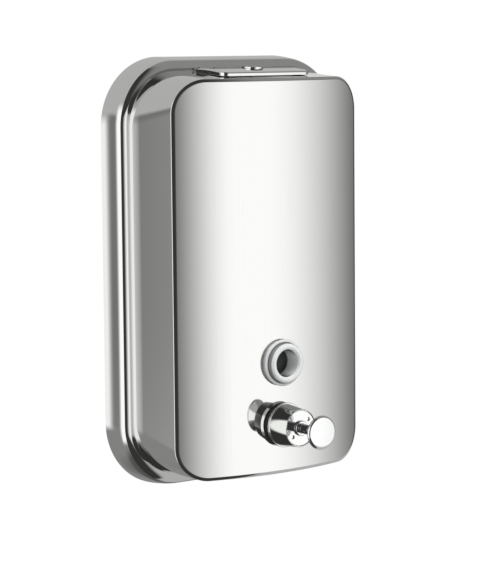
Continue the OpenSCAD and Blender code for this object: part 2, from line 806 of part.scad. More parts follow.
// Mushroom knob: crowned face, round edge, cone to the neck, socket for the stem, outlet below
module push_knob() {
    edge_mid_r = knob_r - knob_edge_r;
    edge_mid_z = knob_shoulder + knob_edge_r;
    color("gainsboro") at_front(pump_z) difference() {
        rotate_extrude() polygon(concat(
            [[0, knob_back], [knob_neck_r, knob_back], [knob_neck_r, knob_back + edge_c]],
            [for (k = [0:round_count])
                let (a = -60 + 150 * k / round_count)
                [edge_mid_r + knob_edge_r * cos(a), edge_mid_z + knob_edge_r * sin(a)]],
            [for (k = [1:round_count])
                let (x = 1 - k / round_count)
                [edge_mid_r * x, knob_face - knob_crown * x * x]]
        ));
        translate([0, 0, knob_back - 1])
            cylinder(r = rod_r + seat_gap, h = rod_front + seat_gap - knob_back + 1);
        translate([0, 0, outlet_z]) rotate([90, 0, 0]) cylinder(r = outlet_r, h = knob_r);
    }
}

// Hollow stem with an outlet under the knob and a slot over the outlet ball
module plunger_rod() {
    color("gainsboro") at_front(pump_z) difference() {
        translate([0, 0, rod_back]) cylinder(r = rod_r, h = rod_front - rod_back);
        translate([0, 0, rod_back - 1]) cylinder(r = rod_bore_r, h = outlet_z + 2 * outlet_r - rod_back + 1);
        translate([0, 0, outlet_z]) rotate([90, 0, 0]) cylinder(r = outlet_r, h = rod_r + 1);
        box([-rod_r - 1, -rod_bore_r / 2, rod_back - 1], [rod_r + 1, rod_bore_r / 2, rod_back + rod_bore_r]);
    }
}

// Piston with a seal groove, a ball chamber and a socket for the stem
module piston() {
    groove_mid = (piston_front + piston_back) / 2;
    color("white") at_front(pump_z) difference() {
        translate([0, 0, piston_back]) cylinder(r = piston_r, h = piston_l);
        tube(piston_r + 1, piston_r - seal_d, groove_mid - seal_w / 2, groove_mid + seal_w / 2);
        translate([0, 0, piston_back - 1]) cylinder(r = outlet_seat_r, h = piston_l);
        translate([0, 0, outlet_seat_z]) cylinder(r = outlet_ball_r + pass_gap, h = rod_back - outlet_seat_z);
        translate([0, 0, rod_back - seat_gap]) cylinder(r = rod_r + seat_gap, h = piston_l);
    }
}

// Ring seal in the piston's groove
module piston_seal() {
    groove_mid = (piston_front + piston_back) / 2;
    half = seal_w / 2 - seat_gap;
    color("black") at_front(pump_z)
        tube(bore_r - run_gap / 2, piston_r - seal_d + seat_gap, groove_mid - half, groove_mid + half);
}

// Helical spring between the elbow and the piston
module return_spring() {
    color("silver") at_front(pump_z) polyhedron(
        points = [for (k = [0:coil_n]) each wire_ring(k)],
        faces = concat(
            [for (k = [0:coil_n - 1], j = [0:wire_count - 1])
                let (p = k * wire_count + j, next = j == wire_count - 1 ? 1 - wire_count : 1, up = wire_count)
                each [[p, p + next, p + next + up], [p, p + next + up, p + up]]],
            [for (j = [1:wire_count - 2]) [0, j + 1, j]],
            [for (j = [1:wire_count - 2])
                let (last = coil_n * wire_count)
                [last, last + j, last + j + 1]]
        )
    );
}

// Ball of the outlet valve, on its seat in the piston
module outlet_ball() {
    color("silver") at_front(pump_z) translate([0, 0, outlet_ball_z]) sphere(r = outlet_ball_r);
}

// Cup on the back of the barrel, with a spout that points down
module inlet_elbow() {
    front = barrel_back + socket_l;
    color("white") at_front(pump_z) difference() {
        union() {
            translate([0, 0, elbow_back]) cylinder(r = elbow_r, h = front - elbow_back);
            translate([0, 0, inlet_z]) rotate([90, 0, 0]) cylinder(r = spout_r, h = -spout_low);
        }
        translate([0, 0, chamber_back]) cylinder(r = bore_r, h = front - chamber_back + 1);
        translate([0, 0, barrel_back]) cylinder(r = barrel_r + seat_gap, h = socket_l + 1);
        translate([0, 0, inlet_z]) rotate([90, 0, 0]) cylinder(r = tube_bore_r, h = 1 - spout_low);
        translate([0, cage_top, inlet_z]) rotate([90, 0, 0]) cylinder(r = cage_r, h = cage_top - tube_top);
        translate([0, tube_top + seat_gap, inlet_z]) rotate([90, 0, 0])
            cylinder(r = tube_r + seat_gap, h = 2 * socket_l);
    }
}

// Ball of the inlet valve, on the end of the pick-up tube
module inlet_ball() {
    color("silver") at_front(pump_z) translate([0, inlet_ball_y, inlet_z]) sphere(r = inlet_ball_r);
}

// Tube from the elbow to just over the tank floor
module pickup_tube() {
    color("white") at_front(pump_z) translate([0, tube_top, inlet_z]) rotate([90, 0, 0])
        tube(tube_r, tube_bore_r, 0, tube_top - tube_low);
}

wall_bracket();
hanger_rail();
back_panel();
front_shell();
filler_neck();
hinge_base();
hinge_pin();
filler_lid();
lid_gasket();
lock_barrel();
lock_nut();
lock_plug();
lock_cam();
cam_screw();
sight_window();
window_gasket();
window_nut();
pump_gasket();
pump_collar();
pump_face_cap();
rod_wiper_seal();
pump_barrel();
pump_washer();
pump_lock_nut();
push_knob();
plunger_rod();
piston();
piston_seal();
return_spring();
outlet_ball();
inlet_elbow();
inlet_ball();
pickup_tube();
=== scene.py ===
import json
import math

import bpy
import numpy as np
from bpy.props import FloatProperty, FloatVectorProperty, PointerProperty
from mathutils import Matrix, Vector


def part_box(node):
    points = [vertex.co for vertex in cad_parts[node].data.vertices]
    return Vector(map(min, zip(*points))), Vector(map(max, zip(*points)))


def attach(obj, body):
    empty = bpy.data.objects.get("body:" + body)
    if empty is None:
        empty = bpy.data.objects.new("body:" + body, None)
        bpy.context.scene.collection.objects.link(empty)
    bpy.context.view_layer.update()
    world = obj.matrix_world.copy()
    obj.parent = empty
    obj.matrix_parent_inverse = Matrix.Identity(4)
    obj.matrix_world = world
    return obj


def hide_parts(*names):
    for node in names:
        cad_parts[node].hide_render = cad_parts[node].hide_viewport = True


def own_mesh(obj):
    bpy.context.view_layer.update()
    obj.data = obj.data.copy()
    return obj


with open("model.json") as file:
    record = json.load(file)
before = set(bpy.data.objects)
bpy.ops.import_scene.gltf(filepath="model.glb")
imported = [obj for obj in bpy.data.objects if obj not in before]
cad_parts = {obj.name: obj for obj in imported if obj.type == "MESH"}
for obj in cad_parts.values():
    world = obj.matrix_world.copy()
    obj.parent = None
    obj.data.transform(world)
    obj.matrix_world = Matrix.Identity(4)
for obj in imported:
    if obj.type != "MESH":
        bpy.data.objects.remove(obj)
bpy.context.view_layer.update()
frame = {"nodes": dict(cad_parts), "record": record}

bl_info = {
    "name": "Wall soap dispenser",
    "version": (1, 0, 0),
    "blender": (4, 5, 0),
    "location": "3D View > Sidebar > Dispenser",
    "description": "Builds the looks of a wall-mounted steel soap dispenser round its CAD frame",
    "category": "Add Mesh",
}

MM = 0.001
TURN = 2.0 * math.pi
# Points closer than this become one
MERGE = 1e-6
SHELL_LOW, SHELL_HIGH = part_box("front_shell")


def length(name, description, value):
    """A size in metres, shown in the scene's own unit."""
    return FloatProperty(
        name=name, description=description, default=value, unit="LENGTH", precision=5
    )


def angle(name, description, degrees):
    """An angle, kept in radians and shown in degrees."""
    return FloatProperty(
        name=name, description=description, default=math.radians(degrees), subtype="ANGLE"
    )


def colour(name, description, value):
    """A linear red, green and blue colour."""
    return FloatVectorProperty(
        name=name, description=description, default=value, subtype="COLOR", min=0.0, max=1.0
    )


def share(name, description, value):
    """A plain number."""
    return FloatProperty(name=name, description=description, default=value, min=0.0)


class ShellSizes(bpy.types.PropertyGroup):
    """Sizes of the pressed tank front."""

    rim_width: length("Rim width", "Width of the rim on the wall", SHELL_HIGH.x - SHELL_LOW.x)
    rim_height: length("Rim height", "Height of the rim on the wall", SHELL_HIGH.z - SHELL_LOW.z)
    rim_corner: length("Rim corner", "Corner radius of the rim", 35.5 * MM)
    bulge_inset: length("Bulge inset", "Inset of the rim wall's control point", 0.06 * MM)
    bulge_depth: length("Bulge depth", "Depth of the rim wall's control point", 4.26 * MM)
    turn_inset: length("Turn inset", "Inset where the rim's edge begins to turn", 1.13 * MM)
    turn_depth: length("Turn depth", "Depth where the rim's edge begins to turn", 10.9 * MM)
    edge_cut: length("Edge", "Reach of the round along the rim's outer edge", 4.5 * MM)
    edge_sharp: share("Edge tightness", "Tightness of the edge next to a true arc", 1.87)
    flange_tilt: angle("Flange tilt", "Tilt of the flange, which rises towards the body", 4.7)
    root_inset: length("Root inset", "Inset of the corner between flange and body", 7.84 * MM)
    root_cut: length("Fillet", "Reach of the hollow fillet on the flange", 0.45 * MM)
    root_flare: length("Flare", "Reach of the hollow fillet on the body's wall", 6.5 * MM)
    root_sharp: share("Fillet tightness", "Tightness of the fillet next to a true arc", 0.42)
    sheet: length("Sheet", "Thickness of the sheet", 0.6 * MM)
    front_width: length("Front width", "Width of the front", 118.7 * MM)
    front_height: length("Front height", "Height of the front", 205.3 * MM)
    front_corner: length("Front corner", "Corner radius of the front", 17.6 * MM)
    front_rise: length("Front rise", "Height of the front's middle", -1.15 * MM)
    side_depth: length("Side depth", "Depth from the wall to the front's sides", 44.8 * MM)
    bow_radius: length("Bow", "Radius of the front's bow, seen from above", 152.0 * MM)
    brow_inset: length("Brow inset", "Inset of the corner between wall and front", 0.2 * MM)
    brow_cut: length("Bend", "Reach of the bend onto the front", 1.95 * MM)
    brow_flare: length("Bend back", "Reach of the bend onto the wall", 0.6 * MM)
    brow_sharp: share("Bend tightness", "Tightness of the bend next to a true arc", 0.8)
    mouth_length: length("Mouth length", "Length of the filler mouth", 46.0 * MM)
    mouth_width: length("Mouth width", "Width of the filler mouth", 17.0 * MM)
    mouth_corner: length("Mouth corner", "Corner radius of the filler mouth", 4.0 * MM)


class LidSizes(bpy.types.PropertyGroup):
    """Sizes of the filler lid, its neck and its seal, in the frame of the top wall."""

    depth: length("Depth", "Depth from the wall to the lid's middle", 33.5 * MM)
    height: length("Height", "Height of the top wall under the lid's middle", 102.927 * MM)
    slope: angle("Slope", "Slope of the top wall", 3.91176)
    length: length("Length", "Length of the lid", 56.0 * MM)
    width: length("Width", "Width of the lid", 27.0 * MM)
    corner: length("Corner", "Corner radius of the lid", 4.0 * MM)
    foot: length("Foot", "Height of the skirt's lower edge", 0.4 * MM)
    top: length("Top", "Height of the lid's top", 3.2 * MM)
    crown: length("Crown", "Radius of the lid's crown from front to back", 100.0 * MM)
    draft: length("Draft", "How far the skirt leans in towards its top", 0.1 * MM)
    sheet: length("Sheet", "Thickness of the lid's sheet", 0.8 * MM)
    field: length("Field", "Inset of the flat top behind the round edge", 2.2 * MM)
    pin_back: length("Pin back", "Distance from the lid's middle to the hinge pin", 15.1 * MM)
    pin_height: length("Pin height", "Height of the hinge pin", 1.6 * MM)
    curl: length("Curl", "Outer radius of the hinge curl", 1.3 * MM)
    curl_length: length("Curl length", "Length of the lid's own curl", 28.0 * MM)
    curl_sheet: length("Curl sheet", "Thickness of the hinge curl", 0.62 * MM)
    lock_hole: length("Lock hole", "Radius of the hole for the lock", 4.5 * MM)
    neck_gap: length("Neck gap", "Gap between the neck and the filler mouth", 0.1 * MM)
    neck_sheet: length("Neck sheet", "Thickness of the neck", 1.2 * MM)
    neck_lip: length("Neck lip", "Width of the neck's lip under the top wall", 3.0 * MM)
    neck_low: length("Neck low", "Height of the neck's lower edge", -2.5 * MM)
    neck_top: length("Neck top", "Height of the neck's upper edge", 1.5 * MM)
    seal_over: length("Seal reach", "How far the seal reaches past the mouth", 0.6 * MM)
    seal_width: length("Seal width", "Width of the seal", 2.6 * MM)
    seal_low: length("Seal low", "Height of the seal's lower face", 1.55 * MM)
    seal_top: length("Seal top", "Height of the seal's upper face", 2.35 * MM)


class PumpSizes(bpy.types.PropertyGroup):
    """Sizes of the pump, as distances in front of the front's middle."""

    front: length("Front", "Depth from the wall to the front's middle", 56.866 * MM)
    pump_height: length("Pump height", "Height of the pump's axis", -77.8 * MM)
    barrel_hole: length("Barrel hole", "Radius of the hole for the barrel", 8.1 * MM)
    gasket_face: length("Gasket face", "Front of the pump's gasket", 1.2 * MM)
    gasket_inset: length("Gasket inset", "How far the gasket lies inside the flange", 0.7 * MM)
    collar_back: length("Collar back", "Back of the collar", 1.25 * MM)
    collar_face: length("Collar face", "Front of the collar", 16.05 * MM)
    collar_flange: length("Collar flange", "Radius of the collar's flange", 11.9 * MM)
    flange_thick: length("Flange thickness", "Thickness of the collar's flange", 2.2 * MM)
    flange_lean: length("Flange lean", "How much narrower the flange is at its back", 1.0 * MM)
    collar: length("Collar", "Radius of the collar behind", 10.95 * MM)
    collar_tip: length("Collar tip", "Radius of the collar at its face", 9.85 * MM)
    face: length("Face", "Radius of the face cap", 9.1 * MM)
    face_front: length("Face front", "Front of the face cap", 15.55 * MM)
    face_thick: length("Face thickness", "Thickness of the face cap's disc", 1.4 * MM)
    spigot: length("Spigot", "Radius of the spigot behind the face cap", 6.4 * MM)
    spigot_length: length("Spigot length", "Length of the spigot", 3.0 * MM)
    wiper: length("Wiper", "Radius of the seat for the wiper seal", 4.25 * MM)
    wiper_depth: length("Wiper depth", "Depth of the seat for the wiper seal", 2.05 * MM)
    face_gap: length("Face gap", "Gap between the face cap and the collar", 0.1 * MM)
    bush: length("Bush", "Radius of the neck bush", 3.9 * MM)
    bush_front: length("Bush front", "Front of the neck bush", 16.95 * MM)
    spanner: length("Spanner hole", "Radius of each spanner hole", 1.1 * MM)
    spanner_depth: length("Spanner depth", "Depth of each spanner hole", 0.7 * MM)
    spanner_at: length("Spanner place", "Distance of each spanner hole from the axis", 6.5 * MM)
    spanner_turn: angle("Spanner turn", "Angle of the spanner holes from level", 40.0)
    stem: length("Stem", "Radius of the stem", 2.5 * MM)
    stem_gap: length("Stem gap", "Gap round the stem in its bush and in the knob", 0.05 * MM)
    stem_bore: length("Stem bore", "Radius of the stem's bore", 1.1 * MM)
    wire: length("Wire", "Radius of the spring's wire", 0.5 * MM)
    coils: share("Coils", "Turns of the return spring", 9.0)
    knob: length("Knob", "Radius of the knob", 8.7 * MM)
    knob_neck: length("Knob neck", "Radius of the knob's neck", 3.6 * MM)
    knob_back: length("Knob back", "Back of the knob", 25.55 * MM)
    knob_face: length("Knob face", "Front of the knob", 34.05 * MM)
    knob_edge: length("Knob edge", "Radius of the knob's round edge", 1.2 * MM)
    knob_crown: length("Knob crown", "Rise of the knob's face in its middle", 0.25 * MM)
    knob_cover: length("Knob cover", "Depth of the knob in front of the stem", 3.0 * MM)
    outlet: length("Outlet", "Radius of the soap outlet", 0.8 * MM)
    outlet_at: length("Outlet place", "Distance of the soap outlet in front", 27.65 * MM)


class WindowSizes(bpy.types.PropertyGroup):
    """Sizes of the sight window, as distances in front of the front's middle."""

    height: length("Height", "Height of the window's axis", -45.4 * MM)
    hole: length("Hole", "Radius of the hole for the window", 8.6 * MM)
    flange: length("Flange", "Radius of the flange", 12.2 * MM)
    flange_back: length("Flange back", "Back of the flange", 0.85 * MM)
    flange_front: length("Flange front", "Front of the flange", 2.25 * MM)
    ring: length("Ring", "Radius of the raised ring", 10.4 * MM)
    crest: length("Crest", "Front of the raised ring", 5.85 * MM)
    well: length("Well", "Radius of the well", 7.0 * MM)
    floor_front: length("Floor front", "Front of the well's floor", -5.0 * MM)
    floor_back: length("Floor back", "Back of the well's floor", -6.5 * MM)
    tail: length("Tail", "Radius of the tail in the tank", 8.5 * MM)
    tail_back: length("Tail back", "Back of the tail", -9.0 * MM)
    # Painted shade: the window is darkened in a line at this radius round the raised ring
    crevice: length("Crevice", "Radius of the dark line round the raised ring", 10.6 * MM)
    gasket: length("Gasket", "Radius of the gasket", 11.7 * MM)
    gasket_face: length("Gasket face", "Front of the gasket", 0.8 * MM)


class Finishes(bpy.types.PropertyGroup):
    """Colours of the materials."""

    polished: colour("Polished steel", "Colour of the polished shell", (0.805, 0.81, 0.79))
    plain: colour("Plain steel", "Colour of the mill-finished sheet", (0.60, 0.60, 0.59))
    chrome: colour("Chrome", "Colour of the chrome on the pump", (0.85, 0.86, 0.85))
    lock: colour("Lock steel", "Colour of the lock", (0.52, 0.51, 0.49))
    spring: colour("Spring steel", "Colour of the springs, balls and pins", (0.62, 0.62, 0.62))
    clear: colour("Clear plastic", "Tint of the window", (0.97, 0.985, 0.98))
    # Painted shade on the window where it is seen at a slant and in the hollow round its raised
    # ring
    clear_edge: colour("Clear edge", "Tint of the window seen at a slant", (0.12, 0.13, 0.13))
    # Painted shade on the window deep in its well, standing in for the dark tank behind it
    tank_inside: colour("Tank inside", "Tint of the window over the tank", (0.03, 0.035, 0.035))
    white: colour("White plastic", "Colour of the pump's inner pieces", (0.80, 0.80, 0.77))
    black: colour("Dark rubber", "Colour of the dark seals", (0.022, 0.022, 0.023))
    pale: colour("Pale rubber", "Colour of the pale seals", (0.66, 0.67, 0.66))


class StageSettings(bpy.types.PropertyGroup):
    """Levels of the plain studio round the part."""

    floor_height: length("Floor", "Height of the floor", -0.75)
    tent_radius: length("Tent", "Radius of the light tent", 2.2)
    ambient: share("Ambient", "Light from all round on matt surfaces", 0.55)
    key: share("Key lamp", "Power of the soft lamp above, in watts", 26.0)


def frame_front(p):
    """Places local x, y, z on the front: x stays, y goes up and z comes out of the front."""
    depth, height = p
    return lambda v: np.stack((v[..., 0], -depth - v[..., 2], height + v[..., 1]), -1)


def turn_front(v):
    """Turns a local direction of the front's frame into the shared frame."""
    return np.stack((v[..., 0], -v[..., 2], v[..., 1]), -1)


def lid_axes(lid):
    """Across, backward and upward directions of the sloped top wall."""
    c, s = math.cos(lid.slope), math.sin(lid.slope)
    return np.array([[1.0, 0.0, 0.0], [0.0, c, s], [0.0, -s, c]])


def unit(v):
    """Vectors divided by their own lengths."""
    return v / np.maximum(np.linalg.norm(v, axis=-1, keepdims=True), 1e-15)


def strip(points, normals, wrap=False):
    """A grid of points as one patch: quads between neighbours, with the last column joined to the
    first where wrap is set."""
    rows, cols = points.shape[:2]
    i = np.arange(rows - 1)[:, None]
    j = np.arange(cols if wrap else cols - 1)[None, :]
    k = (j + 1) % cols
    quads = np.stack(
        np.broadcast_arrays(i * cols + j, i * cols + k, (i + 1) * cols + k, (i + 1) * cols + j), -1
    )
    return points.reshape(-1, 3), normals.reshape(-1, 3), quads.reshape(-1, 4)


def sampled(shape, q, step):
    """Points of shape(q) and their unit normals: the cross product of the two central differences
    over a small step of each parameter."""
    du, dv = np.array([step, 0.0]), np.array([0.0, step])
    normal = np.cross(shape(q + du) - shape(q - du), shape(q + dv) - shape(q - dv))
    return shape(q), unit(normal)


def pierced(surface, q, holes, wrap=False, rings=8):
    """A surface over the grid q with holes in it. Each hole (i0, i1, j0, j1, outline) takes out the
    cells between those grid lines and puts in a band: a straight blend, in the parameters, from the
    edge of the block to outline(edge). Returns the patches and the points and normals of the holes'
    edges."""
    points, normals = surface(q)
    flat_points, flat_normals, quads = strip(points, normals, wrap)
    rows, cols = q.shape[:2]
    span = cols if wrap else cols - 1
    row, col = np.divmod(np.arange((rows - 1) * span), span)
    keep = np.ones(len(quads), bool)
    patches, edges = [], []
    for i0, i1, j0, j1, outline in holes:
        keep &= ~((row >= i0) & (row < i1) & (col >= j0) & (col < j1))
        sides = q[i0, j0:j1], q[i0:i1, j1], q[i1, j1:j0:-1], q[i1:i0:-1, j0]
        block = np.concatenate(sides)
        inner = outline(block)
        t = (np.arange(rings + 1) / rings)[:, None, None]
        band_points, band_normals = surface((1 - t) * block + t * inner)
        patches.append(strip(band_points, band_normals, True))
        edges.append((band_points[-1], band_normals[-1]))
    patches.append((flat_points, flat_normals, quads[keep]))
    return patches, edges


def hole_wall(edge, thickness):
    """The wall of a hole through a sheet: the hole's edge carried back along the surface normals,
    with normals square to the edge and towards the hole's middle."""
    points, normals = edge
    along = np.roll(points, -1, 0) - np.roll(points, 1, 0)
    inward = unit(np.cross(along, normals))
    inward *= np.sign(np.sum(inward * (points.mean(0) - points), -1, keepdims=True))
    both = np.stack((points, points - thickness * normals))
    return strip(both, np.stack((inward, inward)), True)


def fan(edge, normals):
    """A closed edge joined to its middle point."""
    middle = np.broadcast_to(edge.mean(0), edge.shape)
    return strip(np.stack((edge, middle)), np.broadcast_to(normals, (2, *edge.shape)), True)


def behind(patch, thickness):
    """The far skin of a sheet: a patch moved back along its normals and turned over."""
    points, normals, quads = patch
    return points - thickness * normals, -normals, quads


def finish(slot):
    """The material made for one of the record's slots."""
    return bpy.data.materials[slot + "_finish"]


def piece(name, patches, body, node, slot):
    """Makes one mesh object from patches and sets it on the frame. Points within a micron become
    one, each quad becomes two triangles, those with a repeated corner go, and each triangle is
    turned so that it faces along its normals, which are kept as the mesh's own."""
    starts = np.cumsum([0] + [len(p[0]) for p in patches[:-1]])
    points = np.concatenate([p[0] for p in patches])
    normals = np.concatenate([p[1] for p in patches])
    quads = np.concatenate([p[2] + s for p, s in zip(patches, starts)])
    tris = np.concatenate((quads[:, [0, 1, 2]], quads[:, [0, 2, 3]]))
    _, first, index = np.unique(
        np.round(points / MERGE).astype(np.int64), axis=0, return_index=True, return_inverse=True
    )
    index = index.reshape(-1)
    corner = index[tris]
    good = np.all(corner != np.roll(corner, 1, 1), 1)
    tris, corner, place = tris[good], corner[good], points[first]
    a, b, c = (place[corner[:, k]] for k in range(3))
    turned = np.sum(np.cross(b - a, c - a) * normals[tris].sum(1), -1) < 0
    tris[turned] = tris[turned][:, [0, 2, 1]]
    corner[turned] = corner[turned][:, [0, 2, 1]]
    mesh = bpy.data.meshes.new(name)
    mesh.vertices.add(len(place))
    mesh.vertices.foreach_set("co", place.astype(np.float32).ravel())
    mesh.loops.add(corner.size)
    mesh.loops.foreach_set("vertex_index", corner.astype(np.int32).ravel())
    mesh.polygons.add(len(corner))
    mesh.polygons.foreach_set("loop_start", np.arange(0, corner.size, 3, dtype=np.int32))
    mesh.polygons.foreach_set("use_smooth", np.ones(len(corner), bool))
    mesh.update(calc_edges=True)
    mesh.normals_split_custom_set(normals[tris].reshape(-1, 3).tolist())
    mesh.materials.append(finish(slot))
    made = bpy.data.objects.new(name, mesh)
    bpy.context.scene.collection.objects.link(made)
    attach(made, body)
    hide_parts(node)
    return made


def profile(corners, closed=False, steps=6):
    """A line through corners (radius, height, rounding): each corner becomes the circular arc of
    its rounding that touches both of its sides. Normals point to the right of the way it runs."""
    line = np.array([c[:2] for c in corners], float)
    count = len(line)
    inner = range(count) if closed else range(1, count - 1)
    points, normals = [], []
    if not closed:
        d = unit(line[1] - line[0])
        points.append(line[:1])
        normals.append(np.array([[d[1], -d[0]]]))
    for k in inner:
        mid, rounding = line[k], max(corners[k][2], 1e-5)
        to_last, to_next = line[k - 1] - mid, line[(k + 1) % count] - mid
        back, ahead = unit(to_last), unit(to_next)
        half = math.acos(np.clip(back @ ahead, -1, 1)) / 2
        room = 0.49 * min(np.linalg.norm(to_last), np.linalg.norm(to_next))
        reach = min(rounding / math.tan(half), room) if half < 1.5707 else 0.0
        t = np.linspace(0, 1, steps + 1)[:, None]
        first, last = np.array([-back[1], back[0]]), np.array([ahead[1], -ahead[0]])
        swing = math.atan2(first[0] * last[1] - first[1] * last[0], first @ last)
        both = math.sin(half) * t * (1 - t)
        way = np.arctan2(both + t**2, both + (1 - t) ** 2)
        a = swing * (way / way[-1])
        points.append(conic(mid + reach * back, mid, mid + reach * ahead, t))
        normals.append(np.cos(a) * first + np.sin(a) * np.array([-first[1], first[0]]))
    if closed:
        points.append(points[0][:1])
        normals.append(normals[0][:1])
    else:
        d = unit(line[-1] - line[-2])
        points.append(line[-1:])
        normals.append(np.array([[d[1], -d[0]]]))
    return np.concatenate(points), np.concatenate(normals)


def around(segments, start=0.0):
    """Angles in equal steps round a whole turn."""
    return np.arange(segments) * TURN / segments + start


def lathe(section, place, angles):
    """A profile carried round the local z axis: radius and height become r cos a, r sin a and z."""
    spin = np.stack((np.cos(angles), np.sin(angles), np.ones_like(angles)), -1)
    points, normals = (line[:, None, [0, 0, 1]] * spin for line in section)
    return strip(place(points), turn_front(normals), True)


def ring_point(half_w, half_h, corner, u):
    """Point on a rectangle with round corners. Each whole step of u from 0 to 8 is one corner arc
    (even) or one straight side (odd), anticlockwise from the right-hand side."""
    part = np.floor(u).astype(int) % 8
    f = u - np.floor(u)
    c = part // 2
    straight = part % 2 == 1
    a = (c + np.where(straight, 1.0, f)) * math.pi / 2
    along = np.where(straight, f, 0.0)
    side_x, side_y = np.array([1.0, -1.0, -1.0, 1.0]), np.array([1.0, 1.0, -1.0, -1.0])
    mid_x = (1 - along) * side_x[c] + along * side_x[(c + 1) % 4]
    mid_y = (1 - along) * side_y[c] + along * side_y[(c + 1) % 4]
    return (
        mid_x * (half_w - corner) + corner * np.cos(a),
        mid_y * (half_h - corner) + corner * np.sin(a),
    )


def ring_steps(corner, level, upright):
    """Parameters round a ring, with that many steps on each corner, level side and upright side."""
    counts = (corner, level, corner, upright) * 2
    return np.concatenate([k + np.arange(n) / n for k, n in enumerate(counts)])


def conic(start, corner, end, t, sharp=1.0):
    """Circular arc between two points on the sides of a corner, as a rational quadratic curve whose
    middle weight is the sine of half the corner's angle, or a tighter bend where sharp is over
    1."""
    cosine = np.sum(unit(start - corner) * unit(end - corner), -1, keepdims=True)
    w = sharp * np.sqrt(np.maximum((1 - cosine) / 2, 1e-12))
    k0, k1, k2 = (1 - t) ** 2, 2 * w * t * (1 - t), t**2
    return (k0 * start + k1 * corner + k2 * end) / (k0 + k1 + k2)


def bow_depth(s, x):
    """Depth of the front at a distance x from its middle: a circular bow over its sides."""
    return s.side_depth + np.sqrt(s.bow_radius**2 - x**2) - math.sqrt(
        s.bow_radius**2 - (s.front_width / 2) ** 2
    )


def shell_point(s, q):
    """Outer skin of the tank between the wall and the front. The first parameter goes round the
    ring, and each whole step of the second is one part of the section: bulged rim wall, edge round,
    tilted flange, hollow fillet, drafted wall and bend into the front."""
    u, v = q[..., 0], q[..., 1]

    def rim(inset, depth):
        half_w, half_h = s.rim_width / 2 - inset, s.rim_height / 2 - inset
        x, z = ring_point(half_w, half_h, s.rim_corner - inset, u)
        return np.stack((x, np.full_like(x, -depth), z), -1)

    def front(inset):
        half_w, half_h = s.front_width / 2 - inset, s.front_height / 2 - inset
        x, z = ring_point(half_w, half_h, s.front_corner - inset, u)
        return np.stack((x, -bow_depth(s, x), z + s.front_rise), -1)

    turn = np.array([s.turn_inset, s.turn_depth])
    ahead = unit(turn - np.array([s.bulge_inset, s.bulge_depth]))
    corner = turn + s.edge_cut * ahead
    tilt = np.array([math.cos(s.flange_tilt), math.sin(s.flange_tilt)])
    foot = corner + tilt * (s.root_inset - corner[0]) / tilt[0]
    back, bulge, edge_in = rim(0.0, 0.0), rim(s.bulge_inset, s.bulge_depth), rim(*turn)
    edge, edge_out = rim(*corner), rim(*(corner + s.edge_cut * tilt))
    root_in, root, brow = rim(*(foot - s.root_cut * tilt)), rim(*foot), front(s.brow_inset)
    root_out = root + s.root_flare * unit(brow - root)
    brow_in = brow + s.brow_flare * unit(root - brow)
    brow_out = front(s.brow_inset + s.brow_cut)
    part = np.clip(np.floor(v), 0, 5).astype(int)[..., None]
    t = v[..., None] - part
    return np.select(
        [part == k for k in range(6)],
        [
            (1 - t) ** 2 * back + 2 * t * (1 - t) * bulge + t**2 * edge_in,
            conic(edge_in, edge, edge_out, t, s.edge_sharp),
            edge_out + t * (root_in - edge_out),
            conic(root_in, root, root_out, t, s.root_sharp),
            root_out + t * (brow_in - root_out),
            conic(brow_in, brow, brow_out, t, s.brow_sharp),
        ],
    )


def coons(top, bottom, right, left):
    """Grid that fills four border lines: the sum of the two straight blends between facing lines,
    less the blend of the four corners."""
    a = (np.arange(len(top)) / (len(top) - 1))[None, :, None]
    b = (np.arange(len(right)) / (len(right) - 1))[:, None, None]
    upper, lower = (1 - a) * top[0] + a * top[-1], (1 - a) * bottom[0] + a * bottom[-1]
    corners = (1 - b) * upper + b * lower
    return (1 - b) * top + b * bottom + (1 - a) * right[:, None] + a * left[:, None] - corners


def round_hole(x, y, radius):
    """Outline of a round hole: each point of the block's edge moves straight towards the middle."""
    middle = np.array([x, y])
    return lambda edge: middle + radius * unit(edge - middle)


def nearest(values, wanted):
    """Index of the value that is closest to the wanted one."""
    return int(np.argmin(np.abs(np.asarray(values) - wanted)))


# Steps round the tank front on each corner, level side and upright side
SHELL_RING = 20, 56, 70
# Steps along its section on the rim wall, edge, flange and fillet, rows of the drafted wall as
# shares of its depth, and steps of the bend
SECTION_STEPS = 6, 18, 2, 14
WALL_ROWS = 0.0, 0.05, 0.12, 0.3, 0.5, 0.7, 0.89, 0.95
BEND_STEPS = 16
# The block of cells round the filler mouth: rows before the bend, and shares of the level side
MOUTH_ROWS = 7, 2
MOUTH_SPAN = 0.13, 0.87
# Rounds of the search for the mouth's edge
MOUTH_ROUNDS = 30
# Half width of the blocks round the window and the pump, over their half height
BLOCK_WIDTH = 1.2
# Step of the parameters that gives the walls' normals
NORMAL_STEP = 1e-5


